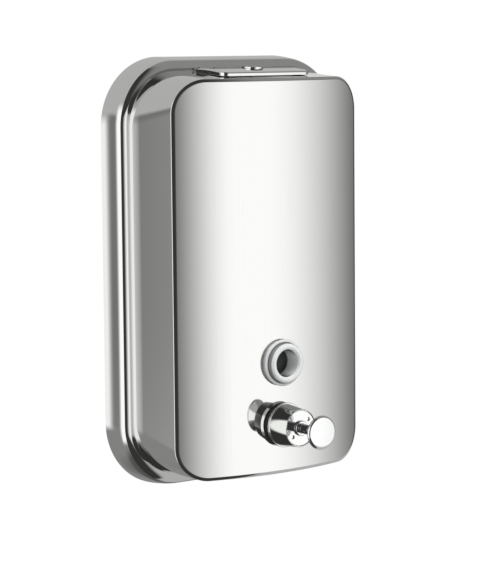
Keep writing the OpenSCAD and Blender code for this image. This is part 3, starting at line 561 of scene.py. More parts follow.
class DISPENSER_OT_shell(bpy.types.Operator):
    """Makes the pressed tank front with its three openings; inside, the bend is a plain chamfer"""

    bl_idname = "dispenser.shell"
    bl_label = "Tank front"

    def execute(self, context):
        s, lid = context.scene.shell, context.scene.lid
        pump, window = context.scene.pump, context.scene.sight_window
        corner, level, upright = SHELL_RING
        u = ring_steps(corner, level, upright)
        bend = np.arange(BEND_STEPS + 1) / BEND_STEPS
        wall = np.concatenate(
            [k + np.arange(n) / n for k, n in enumerate(SECTION_STEPS)]
            + [4 + np.array(WALL_ROWS), 5 + bend]
        )
        q = np.stack(np.broadcast_arrays(u[None, :], wall[:, None]), -1)

        def walls(at):
            return sampled(lambda p: shell_point(s, p), at, NORMAL_STEP)

        def face(at):
            x, z = at[..., 0], at[..., 1]
            slope = x / np.sqrt(s.bow_radius**2 - x**2)
            normals = unit(np.stack((slope, -np.ones_like(x), np.zeros_like(x)), -1))
            return np.stack((x, -bow_depth(s, x), z), -1), normals

        def mouth(edge):
            """Block edge to the filler mouth: clamped to the mouth's straight core, then moved out
            by its corner radius, and taken back to the wall's own two parameters."""
            place = shell_point(s, edge)
            x, d = place[:, 0], lid.depth + place[:, 1]
            x_core = s.mouth_length / 2 - s.mouth_corner
            d_core = s.mouth_width / 2 - s.mouth_corner
            core = np.stack((np.clip(x, -x_core, x_core), np.clip(d, -d_core, d_core)), -1)
            rim = core + s.mouth_corner * unit(np.stack((x, d), -1) - core)
            found = edge.copy()
            for _ in range(MOUTH_ROUNDS):
                now = shell_point(s, found)
                found[:, 0] -= (rim[:, 0] - now[:, 0]) / (s.rim_width - 2 * s.rim_corner)
                found[:, 1] -= (rim[:, 1] - lid.depth - now[:, 1]) / (s.side_depth - s.turn_depth)
            return found

        # Walls with the filler mouth; their last row takes on the front's own normals
        rows = [len(wall) - len(bend) - n for n in MOUTH_ROWS]
        span = [corner + nearest(np.arange(level) / level, at) for at in MOUTH_SPAN]
        outer, mouth_edges = pierced(walls, q, [(*rows, *span, mouth)], wrap=True)
        ring = shell_point(s, np.stack((u, np.full_like(u, wall[-1])), -1))[:, [0, 2]]
        ring_normals = face(ring)[1]
        points, normals, quads = outer[-1]
        normals = normals.copy()
        normals[-len(u) :] = ring_normals
        outer[-1] = (points, normals, quads)

        # Front inside the bend, filled in from the middles of its corners, with two round holes
        half, side = corner // 2, corner + level
        loop = np.roll(ring, -half, 0)
        down = side + corner + upright
        top, left = loop[: side + 1], loop[side : down + 1]
        bottom = loop[down : down + side + 1][::-1]
        right = np.roll(loop, -1, 0)[::-1][: down - side + 1]
        cap = coons(top, bottom, right, left)
        columns, heights = cap[cap.shape[0] // 2, :, 0], cap[:, cap.shape[1] // 2, 1]
        between = (pump.pump_height + window.height) / 2
        reach = window.height - between
        levels = window.height + reach, between, pump.pump_height - reach
        high, middle, low = (nearest(heights, h) for h in levels)
        sides = [nearest(columns, sign * reach * BLOCK_WIDTH) for sign in (1, -1)]
        window_hole = round_hole(0.0, window.height, window.hole)
        pump_hole = round_hole(0.0, pump.pump_height, pump.barrel_hole)
        holes = [(high, middle, *sides, window_hole), (middle, low, *sides, pump_hole)]
        cap_patches, cap_edges = pierced(face, cap, holes)

        # Inner skin with a chamfer for the bend, then the walls of the holes and the back edge
        inner = [behind(p, s.sheet) for p in outer + cap_patches]
        points, normals, quads = inner[len(outer) - 1]
        grid = points.reshape(len(wall), len(u), 3)
        t, first = bend[:, None, None], -len(bend)
        grid[first:] = (1 - t) * grid[first] + t * grid[-1]
        inner[len(outer) - 1] = (grid.reshape(-1, 3), normals, quads)
        patches = outer + cap_patches + inner
        patches += [hole_wall(e, s.sheet) for e in mouth_edges + cap_edges]
        back_points, back_normals = walls(q[:1])
        both = np.concatenate((back_points, back_points - s.sheet * back_normals))
        patches.append(strip(both, np.broadcast_to((0.0, 1.0, 0.0), both.shape), True))
        piece("tank_front", patches, "tank", "front_shell", "polished_steel")
        return {"FINISHED"}


# Start and end of the knob's round edge and of the hinge curl, in degrees
KNOB_ARC = -60, 84
CURL_ARC = 90, -200
# Half sizes of the block of cells round the soap outlet: its height, and its columns
OUTLET_HEIGHT = 1.3 * MM
OUTLET_COLUMNS = 6
# Rows of the face cap's disc that a spanner hole takes up
SPANNER_ROWS = 1, 7
# Steps in each coil of the spring and round its wire
COIL_STEPS, WIRE_STEPS = 40, 14
# Steps round the lid, neck and seal on each corner, level side and upright side
LID_RING = 10, 24, 12


class DISPENSER_OT_pump(bpy.types.Operator):
    """Makes the chrome collar, face cap and knob of the pump"""

    bl_idname = "dispenser.pump"
    bl_label = "Pump"

    def execute(self, context):
        p = context.scene.pump
        place = frame_front((p.front, p.pump_height))
        hole, back, bore = p.barrel_hole, p.collar_back, p.face + p.face_gap
        flange_top, seat = back + p.flange_thick, p.face_front - p.face_thick
        collar = profile(
            [
                (hole, back, 0.1 * MM),
                (p.collar_flange - p.flange_lean, back, 0.2 * MM),
                (p.collar_flange, flange_top, 0.4 * MM),
                (p.collar - 0.3 * MM, flange_top, 0.1 * MM),
                (p.collar, flange_top + 0.4 * MM, 0.3 * MM),
                (p.collar_tip, p.collar_face, 0.55 * MM),
                (bore, p.collar_face, 0.25 * MM),
                (bore, seat, 0.05 * MM),
                (hole, seat, 0.05 * MM),
            ],
            closed=True,
        )
        piece("collar", [lathe(collar, place, around(128))], "tank", "pump_collar", "chrome")
        self.face_cap(p, place, seat)
        self.knob(p, place)
        return {"FINISHED"}

    def face_cap(self, p, place, seat):
        """Disc with two spanner holes, a neck bush in front and a spigot behind."""
        spigot_back, bore = seat - p.spigot_length, p.stem + p.stem_gap
        wiper_top = spigot_back + p.wiper_depth
        edge_round, root_round = 0.3 * MM, 0.35 * MM
        flat_in, flat_out = p.bush + root_round, p.face - edge_round
        outside = profile(
            [
                (p.wiper, wiper_top, 0.0),
                (p.wiper, spigot_back, 0.1 * MM),
                (p.spigot, spigot_back, 0.2 * MM),
                (p.spigot, seat, 0.05 * MM),
                (p.face, seat, 0.1 * MM),
                (p.face, p.face_front, edge_round),
                (flat_out, p.face_front, 0.0),
            ]
        )
        inside = profile(
            [
                (flat_in, p.face_front, 0.0),
                (p.bush, p.face_front, root_round),
                (p.bush, p.bush_front, 0.45 * MM),
                (bore, p.bush_front, 0.2 * MM),
                (bore, wiper_top, 0.05 * MM),
                (p.wiper, wiper_top, 0.0),
            ]
        )
        angles = around(96, p.spanner_turn - TURN / 4)
        spin = np.stack((np.cos(angles), np.sin(angles)), -1)
        q = np.linspace(flat_out, flat_in, 9)[:, None, None] * spin

        def disc(at):
            local = np.concatenate((at, np.full_like(at[..., :1], p.face_front)), -1)
            return place(local), np.broadcast_to((0.0, -1.0, 0.0), local.shape)

        middle = p.spanner_at * np.array([math.cos(p.spanner_turn), math.sin(p.spanner_turn)])
        quarter, wide, holes = len(angles) // 4, len(angles) // 12, []
        for sign, column in ((1, quarter), (-1, 3 * quarter)):
            outline = round_hole(*(sign * middle), p.spanner)
            holes.append((*SPANNER_ROWS, column - wide, column + wide, outline))
        patches, edges = pierced(disc, q, holes, wrap=True, rings=4)
        for points, normals in edges:
            patches.append(hole_wall((points, normals), p.spanner_depth))
            patches.append(fan(points - p.spanner_depth * normals, normals))
        patches += [lathe(section, place, angles) for section in (outside, inside)]
        piece("face_cap", patches, "tank", "pump_face_cap", "chrome")

    def knob(self, p, place):
        """Mushroom knob: neck, pierced cone with the soap outlet below, round edge, crowned face
        and a socket for the stem."""
        edge = p.knob_edge
        shoulder = p.knob_face - p.knob_crown - 2 * edge
        low = np.array([p.knob_neck, p.knob_back + 0.5 * MM])
        edge_start = p.knob - edge + edge * math.cos(math.radians(KNOB_ARC[0]))
        out = np.array([edge_start, shoulder + 0.16 * MM])
        slope = unit(np.array([out[1] - low[1], low[0] - out[0]]))
        rise, angles = np.linspace(0, 1, 13), around(96, TURN / 4)

        def on_cone(t):
            return low[0] + t * (out[0] - low[0]), low[1] + t * (out[1] - low[1])

        def cone(at):
            a, (r, z) = at[..., 0], on_cone(at[..., 1])
            spin = np.stack((np.cos(a), np.sin(a), np.ones_like(a)), -1)
            return place(np.stack((r, r, z), -1) * spin), turn_front(slope[[0, 0, 1]] * spin)

        def outlet(block):
            """Block edge to the outlet: a circle in the plane of x and z, seen from below."""
            a, t = block[:, 0], block[:, 1]
            span = out[1] - low[1]
            middle = (p.outlet_at - low[1]) / span
            rim = np.stack((on_cone(middle)[0] * np.cos(a), (t - middle) * span), -1)
            rim = p.outlet * unit(rim)
            t_rim = middle + rim[:, 1] / span
            a_rim = 3 * TURN / 4 + np.arcsin(rim[:, 0] / on_cone(t_rim)[0])
            return np.stack((a_rim, t_rim), -1)

        q = np.stack(np.broadcast_arrays(angles, rise[:, None]), -1)
        levels = p.outlet_at - OUTLET_HEIGHT, p.outlet_at + OUTLET_HEIGHT
        rows = [nearest(on_cone(rise)[1], level) for level in levels]
        below = len(angles) // 2
        hole = (*rows, below - OUTLET_COLUMNS, below + OUTLET_COLUMNS, outlet)
        patches, edges = pierced(cone, q, [hole], wrap=True, rings=4)
        points = edges[0][0]
        inner = points.copy()
        inner[:, 2] = p.pump_height - p.stem - p.stem_gap
        inward = unit((points.mean(0) - points) * np.array([1.0, 1.0, 0.0]))
        patches.append(strip(np.stack((points, inner)), np.stack((inward, inward)), True))
        patches.append(fan(inner, (0.0, 0.0, -1.0)))
        end, bore = p.knob_face - p.knob_cover, p.stem + p.stem_gap
        back = profile(
            [
                (0.0, end, 0.0),
                (bore, end, 0.1 * MM),
                (bore, p.knob_back, 0.15 * MM),
                (p.knob_neck, p.knob_back, 0.25 * MM),
                (*low, 0.2 * MM),
                (*low, 0.0),
            ]
        )
        a = np.radians(np.linspace(*KNOB_ARC, 15))
        arc_normals = np.stack((np.cos(a), np.sin(a)), -1)
        arc = np.array([p.knob - edge, shoulder + edge]) + edge * arc_normals
        radius, height = arc[-1]
        crown = p.knob_face - height
        x = np.linspace(1, 0, 15)[1:]
        dome = np.stack((radius * x, height + crown * (1 - x**2)), -1)
        dome_normals = unit(np.stack((2 * crown / radius * x, np.ones_like(x)), -1))
        seam = unit(slope + arc_normals[:1])
        face = (
            np.concatenate((out[None], arc, dome)),
            np.concatenate((seam, arc_normals, dome_normals)),
        )
        patches += [lathe(section, place, angles) for section in (back, face)]
        piece("knob", patches, "plunger", "push_knob", "chrome")


class DISPENSER_OT_inside(bpy.types.Operator):
    """Makes the stem and the return spring behind the piston"""

    bl_idname = "dispenser.inside"
    bl_label = "Stem and spring"

    def execute(self, context):
        p = context.scene.pump
        place = frame_front((p.front, p.pump_height))
        self.stem(p, place)
        self.spring(p, place)
        return {"FINISHED"}

    def stem(self, p, place):
        """Hollow stem with rounded ends, closed inside the knob."""
        low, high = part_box("plunger_rod")
        back, front = -high.y - p.front, -low.y - p.front
        end = p.outlet_at + 2 * p.outlet
        section = profile(
            [
                (0.0, end, 0.0),
                (p.stem_bore, end, 0.2 * MM),
                (p.stem_bore, back, 0.1 * MM),
                (p.stem, back, 0.2 * MM),
                (p.stem, front, 0.3 * MM),
                (0.0, front, 0.0),
            ]
        )
        piece("stem", [lathe(section, place, around(64))], "plunger", "plunger_rod", "chrome")

    def spring(self, p, place):
        """Helix of round wire: the middle line turns about the pump's axis while it moves along it,
        and each ring of the wire is square to that line. A cap closes each end."""
        low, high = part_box("return_spring")
        wire, turns = p.wire, int(p.coils)
        radius = (high.x - low.x) / 2 - wire
        back, front = -high.y - p.front + wire, -low.y - p.front - wire
        t = np.linspace(0.0, 1.0, turns * COIL_STEPS + 1)
        a, flat = TURN * turns * t, np.zeros_like(t)
        middle = np.stack((radius * np.cos(a), radius * np.sin(a), back + (front - back) * t), -1)
        out = np.stack((np.cos(a), np.sin(a), flat), -1)
        rise = (front - back) / (TURN * turns * radius)
        way = unit(np.stack((-np.sin(a), np.cos(a), flat + rise), -1))
        side = np.cross(way, out)
        b = around(WIRE_STEPS)[:, None]
        facing = np.cos(b) * out[:, None] + np.sin(b) * side[:, None]
        rings = middle[:, None] + wire * facing
        patches = [strip(place(rings), turn_front(facing), True)]
        for end, sign in ((0, -1.0), (-1, 1.0)):
            patches.append(fan(place(rings[end]), turn_front(sign * way[end])))
        made = piece("spring", patches, "tank", "return_spring", "spring_steel")
        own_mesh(made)


class DISPENSER_OT_window(bpy.types.Operator):
    """Makes the clear window and the two soft rings against the front"""

    bl_idname = "dispenser.window"
    bl_label = "Window and rings"

    def execute(self, context):
        p, s, w = context.scene.pump, context.scene.shell, context.scene.sight_window
        place, pump_place = (frame_front((p.front, z)) for z in (w.height, p.pump_height))
        crest_round = (w.ring - w.well) / 2 * 0.98
        section = profile(
            [
                (0.0, w.floor_back, 0.0),
                (w.well, w.floor_back, 0.2 * MM),
                (w.well, w.tail_back, 0.2 * MM),
                (w.tail, w.tail_back, 0.3 * MM),
                (w.tail, w.flange_back, 0.1 * MM),
                (w.flange, w.flange_back, 0.25 * MM),
                (w.flange, w.flange_front, 0.6 * MM),
                (w.ring, w.flange_front, 0.35 * MM),
                (w.ring, w.crest, crest_round),
                (w.well, w.crest, crest_round),
                (w.well, w.floor_front, 0.5 * MM),
                (0.0, w.floor_front, 0.0),
            ],
            steps=10,
        )
        window = lathe(section, place, around(96))
        piece("window", [window], "tank", "sight_window", "clear_plastic")
        window_ring = self.soft_ring(s, place, w.gasket, w.hole, w.gasket_face)
        piece("window_ring", [window_ring], "tank", "window_gasket", "pale_rubber")
        outer = p.collar_flange - p.gasket_inset
        pump_ring = self.soft_ring(s, pump_place, outer, p.barrel_hole, p.gasket_face)
        piece("pump_ring", [pump_ring], "tank", "pump_gasket", "dark_rubber")
        return {"FINISHED"}

    def soft_ring(self, s, place, outer, inner, front):
        """Ring with rounded edges whose back follows the bow: a turned section whose height falls
        with the bow's depth, fully at the back and not at all at the front."""
        back = 0.05 * MM
        points, normals = profile(
            [
                (inner, back, 0.05 * MM),
                (outer, back, 0.1 * MM),
                (outer, front, min(0.3 * MM, front / 3)),
                (inner, front, 0.1 * MM),
            ],
            closed=True,
        )
        a = around(96)
        spin = np.stack((np.cos(a), np.sin(a), np.ones_like(a)), -1)
        local, facing = (line[:, None, [0, 0, 1]] * spin for line in (points, normals))
        fall = s.bow_radius - np.sqrt(s.bow_radius**2 - local[..., 0] ** 2)
        local[..., 2] -= (1 - (points[:, 1:] - back) / (front - back)) * fall
        return strip(place(local), turn_front(facing), True)


def outline_ring(lid, corners, length, width, corner, closed=True):
    """A section of (inset, height, rounding) corners carried round a rectangle with round corners,
    in the frame of the top wall."""
    points, normals = profile(corners, closed=closed)
    u, axes = ring_steps(*LID_RING), lid_axes(lid)
    origin = np.array([0.0, -lid.depth, lid.height])

    def outline(inset):
        return ring_point(length / 2 - inset, width / 2 - inset, corner - inset, u)

    x, y = outline(points[:, :1])
    out = unit(np.stack(outline(-1.0), -1) - np.stack(outline(0.0), -1))
    local = np.stack((x, y, np.broadcast_to(points[:, 1:], x.shape)), -1)
    up = np.broadcast_to(normals[:, 1:, None], (*x.shape, 1))
    facing = np.concatenate((-normals[:, :1, None] * out, up), -1)
    return strip(origin + local @ axes, facing @ axes, True)


class DISPENSER_OT_lid(bpy.types.Operator):
    """Makes the filler lid and the neck and seal under it"""

    bl_idname = "dispenser.lid"
    bl_label = "Lid, neck and seal"

    def execute(self, context):
        lid, s = context.scene.lid, context.scene.shell
        self.lid_piece(lid)
        gap, sheet, lip = lid.neck_gap, lid.neck_sheet, lid.neck_lip
        low, high = lid.neck_low, lid.neck_top
        neck = outline_ring(
            lid,
            [
                (sheet, low, 0.2 * MM),
                (sheet, high, 0.5 * MM),
                (0.0, high, 0.5 * MM),
                (0.0, low + sheet, 0.3 * MM),
                (-lip, low + sheet, 0.3 * MM),
                (-lip, low, 0.3 * MM),
            ],
            s.mouth_length - 2 * gap,
            s.mouth_width - 2 * gap,
            s.mouth_corner - gap,
        )
        piece("neck", [neck], "tank", "filler_neck", "plain_steel")
        over = lid.seal_over
        seal = outline_ring(
            lid,
            [
                (lid.seal_width, lid.seal_low, 0.2 * MM),
                (lid.seal_width, lid.seal_top, 0.1 * MM),
                (0.0, lid.seal_top, 0.1 * MM),
                (0.0, lid.seal_low, 0.2 * MM),
            ],
            s.mouth_length + 2 * over,
            s.mouth_width + 2 * over,
            s.mouth_corner + over,
        )
        piece("lid_seal", [seal], "lid", "lid_gasket", "dark_rubber")
        return {"FINISHED"}

    def lid_piece(self, lid):
        """Pressed lid: a skirt with a round upper edge, a top plate with the lock's hole in it, and
        a strip that curls round the hinge pin."""
        sheet, field, axes = lid.sheet, lid.field, lid_axes(lid)
        origin = np.array([0.0, -lid.depth, lid.height])
        skirt = outline_ring(
            lid,
            [
                (field, lid.top, 0.0),
                (lid.draft, lid.top, 1.1 * MM),
                (0.0, lid.foot, 0.15 * MM),
                (sheet, lid.foot, 0.15 * MM),
                (lid.draft + sheet, lid.top - sheet, 0.4 * MM),
                (field, lid.top - sheet, 0.0),
            ],
            lid.length,
            lid.width,
            lid.corner,
            closed=False,
        )
        half_l, half_w = lid.length / 2 - field, lid.width / 2 - field
        rim = np.stack(ring_point(half_l, half_w, lid.corner - field, ring_steps(*LID_RING)), -1)
        hole = lid.lock_hole * unit(rim)
        t = (np.arange(9) / 8)[:, None, None]
        flat = (1 - t) * rim + t * hole
        patches = [skirt]
        for height, up in ((lid.top, 1.0), (lid.top - sheet, -1.0)):
            local = np.concatenate((flat, np.full_like(flat[..., :1], height)), -1)
            facing = np.broadcast_to((0.0, 0.0, up), local.shape)
            patches.append(strip(origin + local @ axes, facing @ axes, True))
        edge = np.concatenate((hole, np.full_like(hole[:, :1], lid.top)), -1)
        up = np.broadcast_to((0.0, 0.0, 1.0), edge.shape)
        patches.append(hole_wall((origin + edge @ axes, up @ axes), sheet))
        patches = [self.crowned(lid, axes, origin, patch) for patch in patches]
        patches += self.curl(lid, axes, origin)
        piece("lid", patches, "lid", "filler_lid", "lid_steel")

    def crowned(self, lid, axes, origin, patch):
        """Lowers the lid's top away from its middle line by the square of the distance over twice
        the crown's radius, and less further down, so that the skirt's edge stays straight."""
        points, normals, quads = patch
        local, facing = (points - origin) @ axes.T, normals @ axes.T
        y = local[:, 1]
        way_up = np.clip((local[:, 2] - lid.foot) / (lid.top - lid.foot), 0.0, 1.0)
        local[:, 2] -= way_up * y**2 / (2 * lid.crown)
        facing[:, 1] += facing[:, 2] * way_up * y / lid.crown
        return origin + local @ axes, unit(facing) @ axes, quads

    def curl(self, lid, axes, origin):
        """Strip from the lid's back edge round the hinge pin: a straight run and then an arc about
        the pin, given a thickness and carried along the pin."""
        sheet, half = lid.curl_sheet, lid.curl_length / 2
        mid = lid.curl - sheet / 2
        a = np.radians(np.linspace(*CURL_ARC, 40))
        arc = np.stack((lid.pin_back + mid * np.cos(a), lid.pin_height + mid * np.sin(a)), -1)
        start = np.array([[lid.width / 2 - 0.5 * lid.sheet, lid.pin_height + mid]])
        line = np.concatenate((start, arc))
        facing = np.concatenate(([[0.0, 1.0]], np.stack((np.cos(a), np.sin(a)), -1)))
        outer, inner = line + facing * sheet / 2, line - facing * sheet / 2
        x = np.array([-half, half])

        def along(flat, normals):
            def spread(values, across):
                both = np.broadcast_arrays(across[:, None], values[None, :, 0], values[None, :, 1])
                return np.stack(both, -1) @ axes

            return strip(origin + spread(flat, x), spread(normals, np.zeros(2)))

        patches = [along(outer, facing), along(inner, -facing)]
        for end, way in ((0, line[0] - line[1]), (-1, line[-1] - line[-2])):
            pair = np.stack((outer[end], inner[end]))
            patches.append(along(pair, np.broadcast_to(unit(way), pair.shape)))
        for value in x:
            pair = np.stack((outer, inner))
            local = np.concatenate((np.full_like(pair[..., :1], value), pair), -1)
            facing_out = np.broadcast_to((math.copysign(1.0, value), 0.0, 0.0), local.shape)
            patches.append(strip(origin + local @ axes, facing_out))
        return patches


def node_group(name, inputs, outputs):
    """An empty shader group: its tree, input node and output node. Inputs come with their defaults,
    vectors as tuples, and outputs with their kinds."""
    tree = bpy.data.node_groups.new(name, "ShaderNodeTree")
    for label, default in inputs.items():
        kind = "NodeSocketVector" if isinstance(default, tuple) else "NodeSocketFloat"
        made = tree.interface.new_socket(label, in_out="INPUT", socket_type=kind)
        made.default_value = default
    for label, kind in outputs.items():
        tree.interface.new_socket(label, in_out="OUTPUT", socket_type="NodeSocket" + kind)
    return tree, tree.nodes.new("NodeGroupInput"), tree.nodes.new("NodeGroupOutput")


def add_node(tree, kind, inputs, **settings):
    """A shader node with its settings. Each input, by name or number, is a socket to link or a
    plain value."""
    made = tree.nodes.new("ShaderNode" + kind)
    for label, value in settings.items():
        setattr(made, label, value)
    for label, value in inputs.items():
        if isinstance(value, bpy.types.NodeSocket):
            tree.links.new(value, made.inputs[label])
        else:
            made.inputs[label].default_value = value
    return made


def math_node(tree, operation, *operands):
    """A math node whose operands are sockets or plain numbers; gives its output."""
    return add_node(tree, "Math", dict(enumerate(operands)), operation=operation).outputs[0]


def smooth_step(tree, value, start, end):
    """Mask that goes smoothly from 0 at the start to 1 at the end."""
    ends = {"Value": value, "From Min": start, "From Max": end}
    return add_node(tree, "MapRange", ends, interpolation_type="SMOOTHSTEP").outputs[0]


def blend(tree, first, second, mask):
    """Number that goes from the first to the second with the mask."""
    more = math_node(tree, "SUBTRACT", second, first)
    return math_node(tree, "ADD", first, math_node(tree, "MULTIPLY", more, mask))


def own_place(tree):
    """Object coordinates of the shaded point."""
    return tree.nodes.new("ShaderNodeTexCoord").outputs["Object"]


def build_groups():
    """Shared effects: fine lines drawn along one direction, soft smudges from handling and moulded
    grain."""
    tree, given, out = node_group(
        "drawn_lines",
        {"Scale": (900.0, 900.0, 12.0), "Strength": 0.1},
        {"Lines": "Float", "Normal": "Vector"},
    )
    factors = {0: own_place(tree), 1: given.outputs["Scale"]}
    stretched = add_node(tree, "VectorMath", factors, operation="MULTIPLY").outputs[0]
    noise = {"Vector": stretched, "Scale": 1.0, "Detail": 3.0}
    ruffle(tree, noise, given.outputs["Strength"], 0.0001, out, "Lines")

    tree, given, out = node_group(
        "smudges",
        {"Size": 30.0, "Low": 0.05, "High": 0.1},
        {"Roughness": "Float", "Mask": "Float"},
    )
    noise = {
        "Vector": own_place(tree),
        "Scale": given.outputs["Size"],
        "Detail": 4.0,
        "Distortion": 0.6,
    }
    mask = smooth_step(tree, add_node(tree, "TexNoise", noise).outputs["Fac"], 0.35, 0.75)
    rough = blend(tree, given.outputs["Low"], given.outputs["High"], mask)
    tree.links.new(rough, out.inputs["Roughness"])
    tree.links.new(mask, out.inputs["Mask"])

    tree, given, out = node_group(
        "moulded_grain",
        {"Size": 900.0, "Strength": 0.2},
        {"Grain": "Float", "Normal": "Vector"},
    )
    noise = {"Vector": own_place(tree), "Scale": given.outputs["Size"], "Detail": 5.0}
    ruffle(tree, noise, given.outputs["Strength"], 0.0002, out, "Grain")


def ruffle(tree, inputs, strength, distance, out, label):
    """Noise that a group gives out as a mask and as a bumped normal."""
    noise = add_node(tree, "TexNoise", inputs).outputs["Fac"]
    relief = {"Height": noise, "Strength": strength, "Distance": distance}
    bump = add_node(tree, "Bump", relief)
    tree.links.new(noise, out.inputs[label])
    tree.links.new(bump.outputs["Normal"], out.inputs["Normal"])


CARD_ENDS = ("Left", "Right", "Soft Left", "Soft Right", "Low", "High", "Soft Low", "Soft High")


def light_card():
    """A card of the tent painted over what is under it: the product of four smooth steps, two over
    the direction round the part and two over the height, leads from the level under it to its
    own."""
    numbers = dict.fromkeys(("Turn", "Rise", "Under", "Level", *CARD_ENDS), 0.0)
    tree, given, out = node_group("light_card", numbers, {"Level": "Float"})
    masks = []
    for value, low, high in (("Turn", "Left", "Right"), ("Rise", "Low", "High")):
        value, start, end = (given.outputs[label] for label in (value, low, high))
        before = math_node(tree, "SUBTRACT", start, given.outputs["Soft " + low])
        after = math_node(tree, "ADD", end, given.outputs["Soft " + high])
        opening = smooth_step(tree, value, before, start)
        closing = math_node(tree, "SUBTRACT", 1.0, smooth_step(tree, value, end, after))
        masks.append(math_node(tree, "MULTIPLY", opening, closing))
    mask = math_node(tree, "MULTIPLY", *masks)
    level = blend(tree, given.outputs["Under"], given.outputs["Level"], mask)
    tree.links.new(level, out.inputs["Level"])


def placed_group(tree, name, **inputs):
    """A group set into a material with its own input values."""
    return add_node(tree, "Group", inputs, node_tree=bpy.data.node_groups[name])


def new_material(name):
    """An empty node material: its tree and its Principled shader, already wired to the output."""
    made = bpy.data.materials.new(name + "_finish")
    made.use_nodes = True
    tree = made.node_tree
    tree.nodes.clear()
    shader = tree.nodes.new("ShaderNodeBsdfPrincipled")
    add_node(tree, "OutputMaterial", {"Surface": shader.outputs[0]})
    return tree, shader


def rewire(tree, surface):
    """Puts another surface on a material's output."""
    output = next(n for n in tree.nodes if n.type == "OUTPUT_MATERIAL")
    tree.links.new(surface, output.inputs["Surface"])


def two_tone(tree, mask, first, second):
    """Colour that goes from the first, a colour or a socket, to the second with the mask."""
    start = first if isinstance(first, bpy.types.NodeSocket) else (*first, 1.0)
    ends = {"A": start, "B": (*second, 1.0), "Factor": mask}
    return add_node(tree, "Mix", ends, data_type="RGBA").outputs["Result"]


def wire_up(tree, shader, base, smudge, relief):
    """Leads a base colour, the smudges' roughness and a bumped normal into the shader."""
    tree.links.new(base, shader.inputs["Base Color"])
    tree.links.new(smudge.outputs["Roughness"], shader.inputs["Roughness"])
    tree.links.new(relief.outputs["Normal"], shader.inputs["Normal"])


def metal(name, tint, low, high, size, scale, strength, contrast=0.04):
    """Metal with drawn lines that tint and ruffle it a little, and smudges that dull it."""
    tree, shader = new_material(name)
    shader.inputs["Metallic"].default_value = 1.0
    lines = placed_group(tree, "drawn_lines", Scale=scale, Strength=strength)
    smudge = placed_group(tree, "smudges", Size=size, Low=low, High=high)
    tint = np.array(tint)
    dark, bright = tint * (1 - contrast), np.minimum(tint * (1 + contrast), 1.0)
    wire_up(tree, shader, two_tone(tree, lines.outputs["Lines"], dark, bright), smudge, lines)


def moulded(name, tint, low, high, size, strength):
    """Moulded plastic or rubber: fine grain in the surface and slightly uneven colour and gloss."""
    tree, shader = new_material(name)
    grain = placed_group(tree, "moulded_grain", Size=size, Strength=strength)
    smudge = placed_group(tree, "smudges", Size=60.0, Low=low, High=high)
    tint = np.array(tint)
    dark, bright = tint * 0.93, np.minimum(tint * 1.05, 1.0)
    wire_up(tree, shader, two_tone(tree, smudge.outputs["Mask"], dark, bright), smudge, grain)
    return tree, shader


class DISPENSER_OT_materials(bpy.types.Operator):
    """Makes the finishes and gives one to each CAD node that is kept"""

    bl_idname = "dispenser.materials"
    bl_label = "Finishes"

    def execute(self, context):
        f, scene = context.scene.finishes, context.scene
        build_groups()
        upright = (1100.0, 1100.0, 9.0)
        metal("polished_steel", f.polished, 0.035, 0.075, 22.0, upright, 0.003, 0.015)
        metal("lid_steel", f.polished, 0.06, 0.12, 30.0, (14.0, 900.0, 900.0), 0.002, 0.02)
        metal("plain_steel", f.plain, 0.26, 0.38, 26.0, (10.0, 1500.0, 1500.0), 0.12)
        metal("chrome", f.chrome, 0.018, 0.045, 60.0, (700.0, 60.0, 700.0), 0.004)
        metal("lock_steel", f.lock, 0.16, 0.3, 120.0, (1500.0, 1500.0, 1500.0), 0.06)
        metal("spring_steel", f.spring, 0.15, 0.25, 90.0, (1200.0, 1200.0, 1200.0), 0.05)
        moulded("white_plastic", f.white, 0.35, 0.5, 900.0, 0.15)
        moulded("dark_rubber", f.black, 0.45, 0.65, 1400.0, 0.3)
        moulded("pale_rubber", f.pale, 0.4, 0.55, 1200.0, 0.2)
        self.window_plastic(f, scene.pump, scene.sight_window)
        slots = {row["node"]: row["material_slot"] for row in frame["record"]["subparts"]}
        for name, node in frame["nodes"].items():
            node.data.materials.clear()
            node.data.materials.append(finish(slots[name]))
        return {"FINISHED"}

    def window_plastic(self, f, p, w):
        """Milky clear plastic with painted shade: it is darkened where it is seen at a slant, a
        painted stand-in for the dark edges that thick clear plastic shows, and in a line in the
        hollow round the raised ring; deep in the well it is painted dark, standing in for the dark
        tank behind it."""
        tree, shader = moulded("clear_plastic", f.clear, 0.02, 0.05, 90.0, 0.01)
        shader.inputs["Transmission Weight"].default_value = 0.06
        shader.inputs["IOR"].default_value = 1.49
        shader.inputs["Coat Weight"].default_value = 1.0
        x, y, z = add_node(tree, "SeparateXYZ", {0: own_place(tree)}).outputs
        # Painted shade: deep in the well the window is painted dark, standing in for the dark tank
        # behind it
        deep = smooth_step(tree, y, 3.6 * MM - p.front, 4.8 * MM - p.front)
        # Painted shade: a dark line, at the given radius, in the hollow round the raised ring
        up = math_node(tree, "POWER", math_node(tree, "SUBTRACT", z, w.height), 2.0)
        across = math_node(tree, "ADD", up, math_node(tree, "POWER", x, 2.0))
        off = math_node(tree, "SUBTRACT", math_node(tree, "SQRT", across), w.crevice)
        crevice = smooth_step(tree, math_node(tree, "ABSOLUTE", off), 0.5 * MM, 0.1 * MM)
        # Painted shade: darker where the window is seen at a slant, standing in for the dark edges
        # of thick clear plastic
        slant = add_node(tree, "LayerWeight", {"Blend": 0.5}).outputs["Facing"]
        edge = smooth_step(tree, slant, 0.45, 0.9)
        base = shader.inputs["Base Color"].links[0].from_socket
        for mask, tint in ((edge, f.clear_edge), (crevice, f.clear_edge), (deep, f.tank_inside)):
            base = two_tone(tree, mask, base, tint)
        tree.links.new(base, shader.inputs["Base Color"])


